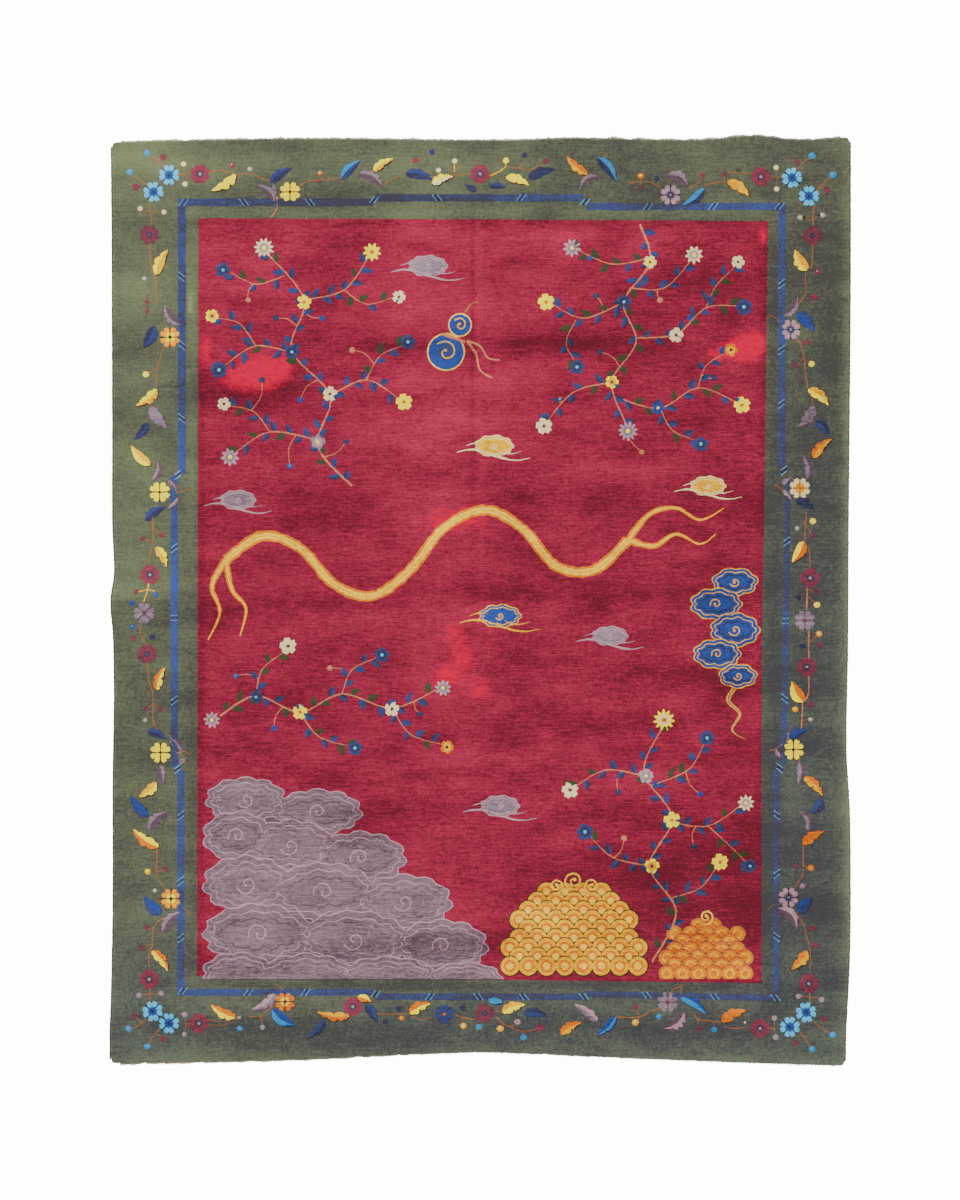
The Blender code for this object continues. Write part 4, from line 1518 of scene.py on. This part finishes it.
def cloud(region, row, edge, body, core):
    """A scalloped cloud with lines that follow its edge, and a curl."""
    middle = spot((row.px, row.py))
    small = min(row.half_x, row.half_y)
    for inset, name, lift in (
        (0.0, edge, 0.0), (CLOUD_LINE_PX, body, 0.5), (0.24 * small, edge, 1.0),
        (0.24 * small + 1.0, body, 1.5), (0.46 * small, core, 2.0), (0.46 * small + 1.6, body, 2.4),
    ):
        scallop(
            region, middle, row.half_x * PIXEL, row.half_y * PIXEL, row.bumps, 0.35 * row.bumps,
            inset * PIXEL, name, row.tier + lift,
        )
    if row.hand:
        curl(
            region, (row.px, row.py), 0.36 * small, edge, start=math.radians(200), hand=row.hand,
            turns=1.1, width=1.2, tier=row.tier + 3.0,
        )


# %% The cloud bank
CLOUD_ROW = 4.2
CLOUD_BANK = (
    Cloud(246, 800, 42, 24, 11, 0.0, 1), Cloud(318, 812, 46, 24, 11, 0.3, -1),
    Cloud(237, 836, 36, 26, 9, CLOUD_ROW, -1), Cloud(290, 846, 46, 28, 11, CLOUD_ROW + 0.3, 1),
    Cloud(360, 858, 48, 28, 11, CLOUD_ROW, -1),
    Cloud(247, 884, 46, 30, 11, 2 * CLOUD_ROW, 1),
    Cloud(324, 892, 54, 31, 13, 2 * CLOUD_ROW + 0.3, -1), Cloud(404, 902, 50, 29, 11, 2 * CLOUD_ROW, 1),
    Cloud(259, 934, 58, 32, 13, 3 * CLOUD_ROW, -1),
    Cloud(354, 940, 58, 31, 13, 3 * CLOUD_ROW + 0.3, 1), Cloud(442, 946, 48, 28, 11, 3 * CLOUD_ROW, -1),
    Cloud(238, 973, 37, 22, 9, 4 * CLOUD_ROW, 0), Cloud(306, 976, 50, 24, 11, 4 * CLOUD_ROW + 0.3, 0),
    Cloud(388, 977, 50, 22, 11, 4 * CLOUD_ROW, 0), Cloud(466, 979, 38, 18, 9, 4 * CLOUD_ROW + 0.3, 0),
)
CLOUD_SHADE = ((272, 860, 44, 52), (334, 918, 90, 44), (404, 940, 60, 28), (252, 940, 30, 34))
field_floor = spot((480, 979.0)).y

bank = Region("field_cloud_bank", lowest=field_floor)
for px, py, half_x, half_y in CLOUD_SHADE:
    scallop(bank, spot((px, py)), half_x * PIXEL, half_y * PIXEL, 9, 0.0, 0.0, "plum", -1.6)
for row in CLOUD_BANK:
    cloud(bank, row, "pink", "lilac", "plum" if row.hand < 0 else "mauve")
field_cloud_bank = bank.finish()

# %% [markdown]
# ## Scale waves
# Water is drawn as rows of scales, like roof tiles. Each scale has a dark line, a broad band
# and a small bright heart, and every second row is half a scale over.

# %% Two mounds of scales
Mound = namedtuple("Mound", "px top half rows radius wools")

MOUNDS = (
    Mound(574, 892, 62, 9, 10.5, ("umber", "gold", "orange", "sand")),
    Mound(706, 926, 38, 7, 9.0, ("maroon", "orange", "gold", "orange")),
)
ROW_DROP = 0.88
ROW_TIER = 1.3
SCALE_PITCH = 1.74


def scale_mound(region, mound):
    """Rows of scales that widen in a curve towards the bottom of the field."""
    pitch = SCALE_PITCH * mound.radius
    for i in range(mound.rows):
        y = mound.top + ROW_DROP * mound.radius * i
        share = 1 - (i + 0.6) / mound.rows
        half = mound.half * math.sqrt(1 - share * share)
        count = max(1, int(2 * half / pitch) + 1)
        if count % 2 != i % 2:
            count += 1
        for k in range(count):
            middle = spot((mound.px + (k - (count - 1) / 2) * pitch, y))
            size = mound.radius * PIXEL
            for share, name, lift in zip((1.0, 0.90, 0.58, 0.36), mound.wools, (0.0, 0.4, 0.8, 1.2)):
                disc(
                    region, middle, share * size, name, ROW_TIER * i + lift,
                    cells=6 if share > 0.5 else 4, dome=FLAT_DOME,
                )


waves = Region("field_waves", lowest=field_floor)
for mound in MOUNDS:
    scale_mound(waves, mound)
for pixel, radius, hand in (
    ((556, 886), 8, 1), ((574, 881), 10, -1), ((592, 886), 8, -1), ((706, 917), 8, 1),
):
    curl(waves, pixel, radius, "sand", start=math.radians(250), hand=hand, width=1.8, tier=3.0)
field_waves = waves.finish()

# %% [markdown]
# ## A floating cloud and a gourd
# The blue wool is kept for two small ornaments: a tall cloud edged in gold, and a double gourd
# tied with a band, a common sign of good luck.

# %% Blue ornaments
blues = Region("field_blue_cloud")
for row in (
    Cloud(735, 582, 24, 15, 7, 0.0, 1), Cloud(716, 604, 27, 17, 9, 2.8, -1),
    Cloud(735, 630, 26, 18, 9, 5.6, 1), Cloud(717, 654, 25, 16, 9, 8.4, -1),
    Cloud(738, 676, 20, 13, 7, 11.2, 1),
):
    cloud(blues, row, "gold", "royal", "navy")
for width, name, tier in ((5.0, "gold", 0.0), (2.6, "royal", 0.8)):
    ribbon(
        blues, [spot(pixel) for pixel in ((738, 684), (728, 700), (740, 714), (732, 730), (746, 740))],
        width * PIXEL, plain(name), tier, taper=0.9,
    )

for pixel, radius, tier in (((446, 352), 19, 0.0), ((460, 325), 12, 2.0)):
    for inset, name, lift in ((0.0, "sand", 0.0), (1.4, "royal", 0.5), (0.55 * radius, "blue", 1.0)):
        disc(
            blues, spot(pixel), (radius - inset) * PIXEL, name, tier + lift, cells=8, dome=FLAT_DOME,
        )
    curl(blues, pixel, 0.62 * radius, "gold", start=2.4, hand=-1, turns=1.1, tier=tier + 1.6)
for pixels, width, name, tier in (
    (((443, 334), (454, 338), (465, 342)), 3.6, "coral", 5.0),
    (((465, 313), (470, 305), (478, 302)), 2.4, "stem", 0.0),
    (((467, 341), (480, 346), (488, 358), (500, 360)), 2.6, "coral", 0.0),
    (((467, 341), (476, 354), (480, 370), (492, 378)), 2.6, "coral", 0.3),
):
    ribbon(blues, [spot(pixel) for pixel in pixels], width * PIXEL, plain(name), tier, taper=0.4)
field_blue_cloud = blues.finish()

# %% [markdown]
# ## A flying sash
# A long sash in sand and gold winds across the middle and ends in split tails. Each part is
# three strips on one line: an orange edge, the sash and its bright middle.

# %% The sash
SASHES = (
    (((226, 560), (262, 536), (300, 548), (334, 584), (372, 596), (410, 570), (444, 528), (486, 510),
      (524, 530), (556, 566), (594, 570), (628, 540)), 8.5, 0.0),
    (((628, 540), (650, 514), (676, 508), (700, 520), (724, 508)), 6.0, 0.85),
    (((628, 540), (654, 546), (676, 534), (700, 544), (716, 534)), 5.5, 0.85),
    (((226, 560), (212, 586), (220, 612), (208, 640)), 6.0, 0.85),
    (((226, 560), (232, 590), (246, 608), (240, 636)), 5.5, 0.85),
)
sash = Region("field_sash")
for i, (pixels, width, taper) in enumerate(SASHES):
    points = [spot(pixel) for pixel in pixels]
    for more, name, tier in ((2.0, "orange", 0.0), (0.0, "sand", 0.7), (-0.78 * width, "gold", 1.6)):
        ribbon(
            sash, points, (width + more) * PIXEL, plain(name), tier + 0.2 * i, step=0.012,
            taper=taper, cells_wide=4, wobble=0.25,
        )
field_sash = sash.finish()

# %% [markdown]
# ## Flower sprays
# Thin stems wander over the ground and branch, with small leaves on alternate sides and a
# blossom or a bud at each end. A function walks along a stem and sets its leaves, with small
# random differences, as a weaver would.

# %% Blossoms and leafy stems
LEAF_EVERY_PX = 9.5
BLOSSOM_SHARE = 0.84
LEAF_TURN = math.radians(48)
SPRAY_SEED = 5
BLOSSOM_TIER = 2.0
SMALL_LEAVES = ("navy", "blue", "olive", "navy")

sprig = random.Random(SPRAY_SEED)

Blossom = namedtuple("Blossom", "px py radius petals wool tips eye dark")


def blossom(region, row, tier=BLOSSOM_TIER):
    """An open flower with narrow or broad petals, over a dark disc."""
    middle = spot((row.px, row.py))
    size = BLOSSOM_SHARE * row.radius * PIXEL
    disc(region, middle, 0.70 * size, row.dark, tier - 1.0, cells=6, dome=0.3)
    broad = row.petals < 7
    for i in range(row.petals):
        angle = 2 * math.pi * i / row.petals + 0.3 * row.radius
        out = Vector((math.cos(angle), math.sin(angle), 0.0))
        wide = (1.02 if broad else 0.80) * 2 * math.pi * 0.66 * size / row.petals
        blade(
            region, middle + out * 0.14 * size, middle + out * size, wide,
            PETAL if broad else LONG_PETAL, lambda u, v: row.tips if u > 0 else row.wool,
            tier + 0.3 * (i % 2),
        )
    disc(region, middle, 0.22 * size, row.eye, tier + 4.0, cells=4)


def leafy_stem(region, row):
    """A branch with small leaves on alternate sides, from near its start to its end."""
    stem(region, row.pixels, row.wool, row.width, taper=0.45, tier=0.4)
    line = smooth_line([Vector((*pixel, 0.0)) for pixel in row.pixels], 1.5)
    walked, side, due = 0.0, sprig.choice((-1, 1)), 0.7 * LEAF_EVERY_PX
    for i in range(1, len(line)):
        step = line[i] - line[i - 1]
        walked += step.length
        if walked < due:
            continue
        due += LEAF_EVERY_PX * sprig.uniform(0.75, 1.35)
        side = -side
        heading = math.atan2(step.y, step.x) + side * LEAF_TURN * sprig.uniform(0.8, 1.25)
        out = Vector((math.cos(heading), math.sin(heading), 0.0))
        base = line[i] + out * 1.2
        tip = base + out * sprig.uniform(8.5, 12.5)
        colour = sprig.choice(SMALL_LEAVES)
        other = "blue" if colour == "navy" else colour
        leaf(
            region, base.xy, tip.xy, sprig.uniform(5.2, 7.2), colour, other,
            sprig.choice(("plain", "half")), tier=1.2, shadow=None,
        )


def nearest_on(stems, pixel):
    """The place on the stems that lies closest to a bud."""
    goal = Vector((*pixel, 0.0))
    places = [
        place
        for row in stems
        for place in smooth_line([Vector((*pixel, 0.0)) for pixel in row.pixels], 3.0)
    ]
    return min(places, key=lambda place: (place - goal).length)


def spray(name, stems, blossoms, buds):
    """One spray as a piece of its own. A thin twig joins each bud to the nearest stem."""
    region = Region(name)
    for row in buds:
        start = nearest_on(stems, row.pixel)
        reach = Vector((*row.pixel, 0.0)) - start
        bend = start + reach * 0.5 + Vector((-reach.y, reach.x, 0.0)) * 0.14
        stem(region, (start.xy, bend.xy, row.pixel), "coral", 1.1, tier=0.3)
    for row in stems:
        leafy_stem(region, row)
    for row in blossoms:
        blossom(region, row)
    for row in buds:
        bud(region, row, tier=BLOSSOM_TIER)
    return region.finish()


# %% A spray that hangs from the top
HANGING_STEMS = table(twig, """
    coral 2.2 640,224 650,262 624,302 636,342 612,382 626,424; coral 1.6 650,258 612,264 578,250
    coral 1.6 624,302 584,318 552,304; coral 1.6 612,382 574,392 548,420
    coral 1.8 636,338 676,334 706,308 738,306; coral 1.5 630,288 664,288 690,262
    coral 1.7 618,398 660,408 698,388 736,402; coral 1.2 706,308 716,286 734,268
    coral 1.2 576,320 566,342 574,360; coral 1.2 698,388 706,366 724,354
    coral 1.3 660,408 672,430 694,440
""")
HANGING_BLOSSOMS = table(Blossom, """
    572 248 11 9 mauve pink yellow plum; 546 302 10 5 yellow yellow orange gold
    544 426 10 5 ivory ivory maroon gold; 744 307 10 5 navy blue ice navy
    694 255 11 9 pink ivory yellow mauve; 742 405 10 5 yellow yellow orange gold
    628 431 12 11 mauve pink yellow plum; 738 262 8 5 ivory ivory maroon gold
    577 367 9 5 navy blue ice navy; 731 350 8 5 gold orange umber maroon
    701 444 9 5 navy blue ice navy; 650 262 8 5 yellow ivory maroon gold
    624 302 9 5 navy blue ice navy; 676 335 9 5 ivory ivory maroon gold
    612 382 8 5 gold yellow maroon orange; 658 408 8 5 blue royal ivory navy
""")
HANGING_BUDS = table(Bud, """
    596,296 navy blue 3.4; 590,258 royal - 3.4; 660,300 coral pink 3.4; 600,352 navy blue 3.6
    690,318 royal - 3.4; 560,400 coral pink 3.4; 714,378 navy blue 3.4; 642,452 coral - 3.0
""")
field_spray_right = spray("field_spray_right", HANGING_STEMS, HANGING_BLOSSOMS, HANGING_BUDS)

# %% A spray that climbs on the left
CLIMBING_STEMS = table(twig, """
    coral 2.2 352,486 318,446 330,396 292,350 304,300 268,254; coral 1.6 330,396 366,380 398,398
    coral 1.6 296,354 256,346 224,366; coral 1.7 304,300 344,290 368,258
    coral 1.6 318,440 270,432 236,452; coral 1.2 344,290 366,304 392,298
    coral 1.2 256,346 240,324 218,318; coral 1.2 270,432 254,412 230,406
    coral 1.3 366,380 380,356 402,346; coral 1.3 284,276 256,284 230,272
""")
CLIMBING_BLOSSOMS = table(Blossom, """
    264 248 12 11 pink ivory yellow mauve; 404 402 10 5 yellow yellow orange gold
    219 370 10 5 navy blue ice navy; 372 252 11 9 yellow yellow orange orange
    230 457 11 9 mauve pink yellow plum; 399 297 8 5 ivory ivory maroon gold
    212 316 8 5 gold yellow maroon orange; 224 404 8 5 ivory ivory maroon gold
    408 342 9 5 navy blue ice navy; 223 270 9 5 navy blue ice navy
    330 394 9 5 ivory ivory maroon gold; 304 302 9 5 yellow yellow orange gold
    292 352 9 5 navy blue ice navy; 318 442 9 5 pink mauve yellow plum
""")
CLIMBING_BUDS = table(Bud, """
    276,318 navy blue 3.6; 322,318 royal - 3.4; 262,380 navy blue 3.6; 352,350 coral pink 3.6
    290,466 royal sky 3.4; 346,442 navy - 3.4; 300,400 royal - 3.2; 248,300 coral pink 3.2
""")
field_spray_left = spray("field_spray_left", CLIMBING_STEMS, CLIMBING_BLOSSOMS, CLIMBING_BUDS)

# %% Two low sprays
LOW_STEMS = table(twig, """
    coral 2.2 652,962 676,912 650,866 672,818 644,772 662,728; coral 1.5 652,866 614,858 590,836
    coral 1.7 670,822 708,826 740,806; coral 1.5 644,776 606,770 576,786
    coral 1.3 708,826 728,844 746,862; coral 1.4 672,898 700,888 716,868
    coral 1.4 650,786 688,770 704,744; coral 2.0 220,716 256,696 300,712 342,694 392,708 436,690
    coral 1.4 300,712 318,736 348,746; coral 1.4 256,696 262,670 284,652
    coral 1.4 392,708 410,734 440,744; coral 1.3 342,694 352,670 376,658
""")
LOW_BLOSSOMS = table(Blossom, """
    664 720 13 11 ivory yellow orange gold; 585 832 10 5 navy blue ice navy
    746 803 10 9 pink ivory yellow mauve; 570 790 10 5 ivory ivory maroon gold
    750 866 8 5 navy blue ice navy; 720 862 10 5 yellow yellow orange gold
    707 738 9 5 navy blue ice navy; 672 820 10 5 yellow yellow orange gold
    646 776 9 5 mauve pink yellow plum; 652 866 9 5 gold yellow maroon orange
    212 720 10 9 mauve pink yellow plum; 443 688 10 9 mauve pink yellow plum
    355 748 9 5 navy blue ice navy; 288 646 10 5 ivory ivory maroon gold
    447 747 8 5 gold orange umber maroon; 382 655 9 5 navy blue ice navy
    300 712 9 5 yellow yellow orange gold; 392 709 9 5 ivory ivory maroon gold
    256 697 8 5 navy blue ice navy
""")
LOW_BUDS = table(Bud, """
    694,846 navy blue 3.6; 624,838 coral pink 3.4; 700,794 royal - 3.4; 618,792 navy blue 3.6
    274,728 royal - 3.4; 330,668 coral pink 3.4; 420,714 navy blue 3.4; 236,676 royal sky 3.2
""")
field_sprays_low = spray("field_sprays_low", LOW_STEMS, LOW_BLOSSOMS, LOW_BUDS)

# %% Small clouds
SMALL_CLOUDS = (
    ((428, 266), 12, "mauve", "pink"), ((494, 446), 12, "gold", "ivory"),
    ((238, 500), 11, "mauve", "pink"), ((500, 616), 13, "royal", "gold"),
    ((610, 636), 11, "mauve", "pink"), ((708, 486), 11, "gold", "ivory"),
    ((500, 806), 12, "mauve", "pink"),
)
wisps = Region("field_small_clouds")
for (px, py), radius, body, edge in SMALL_CLOUDS:
    for rise, reach, width in ((0.75, 3.1, 2.4), (0.2, 2.3, 1.8)):
        line = [
            spot((px + reach * radius * t, py + rise * radius + 0.45 * radius * math.sin(2.6 * t)))
            for t in (-1, -0.66, -0.33, 0, 0.33, 0.66, 1)
        ]
        ribbon(wisps, line, width * PIXEL, plain(edge), 0.0, step=0.012, swell=True)
    cloud(wisps, Cloud(px, py, 1.7 * radius, 0.95 * radius, 9, 1.0, 1), edge, body, body)
field_small_clouds = wisps.finish()

# %% [markdown]
# ## The selvedges
# The outermost warps of each side are overcast with green wool, which turns them into a ropy
# cord. A flat grid is wrapped round the cord's line. Its radius swells once for every turn of
# the yarn, and the swell moves round as it goes along, so the yarn lies at a slant.

# %% Overcast cords
WRAP_LENGTH = 0.0068
ROWS_PER_WRAP = 3
CORD_SIDES = 10
WRAP_SHARE = 0.22
LUMP_SHARE = 0.20
END_ROWS = 3
CORD_RADIUS = SELVEDGE_DIAMETER / 2
SNUG = 0.0012
CLOSE_ENOUGH = 1e-6


def cord(name, side):
    """The overcast cord along one long side. A side is -1 for the left and 1 for the right."""
    wraps = round((BODY_LENGTH - 2 * CORNER_RADIUS) / WRAP_LENGTH)
    rows = wraps * ROWS_PER_WRAP
    bm = bmesh.new()
    bmesh.ops.create_grid(bm, x_segments=CORD_SIDES, y_segments=rows, size=0.5)
    for vert in bm.verts:
        around = 2 * math.pi * (vert.co.x + 0.5)
        along = vert.co.y + 0.5
        up = first_station + along * (1 - 2 * first_station)
        edge = settled((side + 1) / 2, up)
        edge.x += side * (GAP + CORD_RADIUS - SNUG)
        turn = math.pi * wraps * along - side * around / 2
        swell = 1 - WRAP_SHARE + WRAP_SHARE * abs(math.sin(turn))
        swell += LUMP_SHARE * noise.noise(Vector((side * 5, along * 260, 0.0)))
        to_end = min(along, 1 - along) * rows
        if to_end < END_ROWS:
            swell *= 0.25 + 0.75 * math.sqrt(to_end / END_ROWS)
        radius = CORD_RADIUS * swell
        sway = 0.0007 * noise.noise(Vector((side * 9, along * 90, 4.0)))
        x = edge.x + sway + radius * math.cos(around)
        z = floor_lift(edge) + CORD_RADIUS * (1 + 0.5 * WRAP_SHARE) + radius * math.sin(around)
        vert.co = (x, edge.y, max(z, 0.0004))
    bmesh.ops.remove_doubles(bm, verts=bm.verts[:], dist=CLOSE_ENOUGH)
    bmesh.ops.holes_fill(bm, edges=[edge for edge in bm.edges if edge.is_boundary], sides=0)
    bmesh.ops.recalc_face_normals(bm, faces=bm.faces[:])
    made = finish_mesh(name, bm, (wools["cord"],))
    made.data.set_sharp_from_angle(angle=math.pi)
    paint(made.data)
    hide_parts(name.replace("cord", "selvedge"))
    return made


cord_left = cord("cord_left", -1)
cord_right = cord("cord_right", 1)
print("cords:", len(cord_left.data.polygons) + len(cord_right.data.polygons), "faces")

# %% [markdown]
# ## The webs and cut warps
# Past the last row of knots a few rows of cotton weft hold the pile in place. Most of this web
# has worn away, and what is left of the cut warps frays into soft tufts.

# %% Webs and frays
WEB_CELLS = 420
WEB_STEPS = 3
WEB_WORN = 0.75
FRAY_SIDES = 4
FRAYS = 620
SEED = 11
WEB_MARGIN = 0.012
WEB_OFF_FLOOR = 0.0002
STRAND_TIP = 0.35
STRAND_RADIUS = 0.0007
STRAND_HEIGHT = 0.0013
STRAND_OUT = (0.002, 0.006)
STRAND_SIDE = (-0.0025, 0.0025)
STRAND_RISE = (-0.0006, 0.0012)

draw = random.Random(SEED)


def web_reach(across, end):
    """How far the web still stands out at a place along an end, in metres."""
    broad = noise.noise(Vector((across * 55, end * 3.0, 0.0)))
    worn = broad + 0.5 * noise.noise(Vector((across * 190, end, 2.0)))
    fade = 1.0 if end > 0 else max(0.35, 1.15 - 0.9 * across)
    return WEB_DEPTH * max(0.18, fade * (0.72 + WEB_WORN * worn))


def tuft_mesh(tip):
    """A tapering strand one metre long, for each strand to be scaled from."""
    bm = bmesh.new()
    bmesh.ops.create_cone(
        bm, cap_ends=True, segments=FRAY_SIDES, radius1=1.0, radius2=tip, depth=1.0,
    )
    bmesh.ops.translate(bm, vec=(0, 0, 0.5), verts=bm.verts[:])
    mesh = bpy.data.meshes.new("strand")
    bm.to_mesh(mesh)
    bm.free()
    return mesh


def add_strand(bm, strand, root, tip, radius):
    """Adds a strand from its root to its tip."""
    line = tip - root
    turn = line.to_track_quat("Z", "Y").to_matrix().to_4x4()
    size = Matrix.Diagonal((radius, radius, line.length, 1.0))
    place = Matrix.Translation(root) @ turn @ size
    strand.transform(place)
    bm.from_mesh(strand)
    strand.transform(place.inverted())


def web(name, node, end):
    """The worn web along one end, -1 for the bottom and 1 for the top, with its frayed warps."""
    bm = bmesh.new()
    bmesh.ops.create_grid(bm, x_segments=WEB_CELLS, y_segments=WEB_STEPS, size=0.5)
    for vert in bm.verts:
        across = WEB_MARGIN + (vert.co.x + 0.5) * (1 - 2 * WEB_MARGIN)
        edge = settled(across, (end + 1) / 2)
        out = GAP + (vert.co.y + 0.5) * web_reach(across, end)
        vert.co = (edge.x, edge.y + end * out, floor_lift(edge) + WEB_THICKNESS)
    raised = extruded(bm)
    for vert in bm.verts:
        if vert not in raised:
            vert.co.z -= WEB_THICKNESS - WEB_OFF_FLOOR
    bmesh.ops.recalc_face_normals(bm, faces=bm.faces[:])
    strand = tuft_mesh(STRAND_TIP)
    for i in range(FRAYS):
        across = WEB_MARGIN + (i + draw.random()) / FRAYS * (1 - 2 * WEB_MARGIN)
        edge = settled(across, (end + 1) / 2)
        reach = web_reach(across, end)
        start = edge + Vector((0.0, end * (GAP + 0.6 * reach), floor_lift(edge) + STRAND_HEIGHT))
        out = draw.uniform(*STRAND_OUT) * (reach / WEB_DEPTH + 0.25)
        side = draw.uniform(*STRAND_SIDE)
        rise = draw.uniform(*STRAND_RISE)
        line = Vector((side, end * (0.4 * reach + out), rise))
        add_strand(bm, strand, start, start + line, STRAND_RADIUS)
    bpy.data.meshes.remove(strand)
    made = finish_mesh(name, bm, (wools["cotton"],))
    paint(made.data)
    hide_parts(node)
    return made


web_top = web("web_top", "end_web_top", 1)
web_bottom = web("web_bottom", "end_web_bottom", -1)
print("webs:", len(web_top.data.polygons) + len(web_bottom.data.polygons), "faces")

# %% [markdown]
# ## The soft rim
# Along its edges the pile has nothing to lean on, so the outer tufts flare outwards. They make
# the outline look soft, most of all at the top end.

# %% Flared tufts
TUFTS_ON_EDGE = 1500
TUFT_RADIUS = 0.0011
TUFT_TIP = 0.3
TUFT_INSIDE = (0.001, 0.006)
TUFT_SUNK = (0.0025, 0.006)
TUFT_LEAST = 0.003
TUFT_LONGEST = {"top": 0.012, "bottom": 0.009, "side": 0.007}
TUFT_SWAY = (-0.002, 0.002)
TUFT_RISE = (-0.001, 0.003)
TUFT_THICKNESS = (0.7, 1.3)


def flare(bm, strand, edge, outward, along, longest):
    """Adds one tuft that leans out over the edge."""
    root = edge - outward * draw.uniform(*TUFT_INSIDE)
    root.z = pile_top(root) - draw.uniform(*TUFT_SUNK)
    lean = outward * draw.uniform(TUFT_LEAST, longest) + along * draw.uniform(*TUFT_SWAY)
    tip = root + lean + Vector((0.0, 0.0, draw.uniform(*TUFT_RISE)))
    add_strand(bm, strand, root, tip, TUFT_RADIUS * draw.uniform(*TUFT_THICKNESS))


strand = tuft_mesh(TUFT_TIP)
bm = bmesh.new()
EAST, NORTH = Vector((1.0, 0.0, 0.0)), Vector((0.0, 1.0, 0.0))
for end, name in ((1, "top"), (-1, "bottom")):
    for i in range(TUFTS_ON_EDGE):
        across = 0.006 + 0.988 * (i + draw.random()) / TUFTS_ON_EDGE
        flare(bm, strand, settled(across, (end + 1) / 2), NORTH * end, EAST, TUFT_LONGEST[name])
for side in (-1, 1):
    for i in range(TUFTS_ON_EDGE):
        up = 0.005 + 0.990 * (i + draw.random()) / TUFTS_ON_EDGE
        flare(bm, strand, settled((side + 1) / 2, up), EAST * side, NORTH, TUFT_LONGEST["side"])
bpy.data.meshes.remove(strand)
rim_tufts = finish_mesh("rim_tufts", bm, (wools["green"],))
paint(rim_tufts.data)
print("rim tufts:", len(rim_tufts.data.polygons), "faces")

# %% [markdown]
# ## One cloth
# The carpet is one laid cloth. Everything that is knotted or sewn into it goes with it.

print("declared one sheet")

# %% [markdown]
# ## Light and camera
# The photograph was taken straight down, in soft and even light from the upper left, on white.
# A long lens far up keeps the sides parallel.

# %% Stage
FLOOR_SIZE = 6.0
FLOOR_GLOW = 12.0
SUN_STRENGTH = 6.5
SUN_ANGLE = math.radians(16)
SUN_FROM = Vector((-0.42, 0.62, 1.0))
SKY_STRENGTH = 1.0
LENS_MM = 85
SENSOR_MM = 36
PICTURE_HEIGHT = 1200 * PIXEL

bm = bmesh.new()
bmesh.ops.create_grid(bm, x_segments=1, y_segments=1, size=FLOOR_SIZE)
floor_mesh = bpy.data.meshes.new("floor")
bm.to_mesh(floor_mesh)
bm.free()
floor = add_object("floor", floor_mesh)
white = bpy.data.materials.new("white_floor")
white.use_nodes = True
set_inputs(white.node_tree.nodes["Principled BSDF"], {
    "Base Color": (0.9, 0.9, 0.9, 1), "Roughness": 1.0, "Specular IOR Level": 0.0,
    "Emission Color": (1, 1, 1, 1), "Emission Strength": FLOOR_GLOW,
})
floor_mesh.materials.append(white)
floor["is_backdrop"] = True

sun_light = bpy.data.lights.new("key_light", "SUN")
sun_light.energy = SUN_STRENGTH
sun_light.angle = SUN_ANGLE
sun = add_object("key_light", sun_light)
sun.rotation_euler = SUN_FROM.to_track_quat("Z", "Y").to_euler()
sun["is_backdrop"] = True

world = bpy.data.worlds.new("soft_sky")
world.use_nodes = True
sky = world.node_tree.nodes["Background"]
set_inputs(sky, {"Color": (1.0, 1.0, 1.0, 1), "Strength": SKY_STRENGTH})
bpy.context.scene.world = world

# %% Camera
lens = bpy.data.cameras.new("camera")
lens.lens = LENS_MM
lens.sensor_width = SENSOR_MM
camera = add_object("camera", lens)
camera_place = spot((480, 600))
camera_place.z = THICKNESS + LENS_MM / SENSOR_MM * PICTURE_HEIGHT
camera.location = camera_place
bpy.context.scene.camera = camera
camera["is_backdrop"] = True
print("camera is", round(camera_place.z, 2), "m up")

# %% [markdown]
# ## The sizes at the end
# The finished carpet should be as big as the plain model. Both sizes are printed.

# %% Print both sizes
final_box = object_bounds()
for name, (low, high) in (("plain model", cad_box), ("finished", final_box)):
    print(name, [round(1000 * value, 1) for value in high - low], "mm")
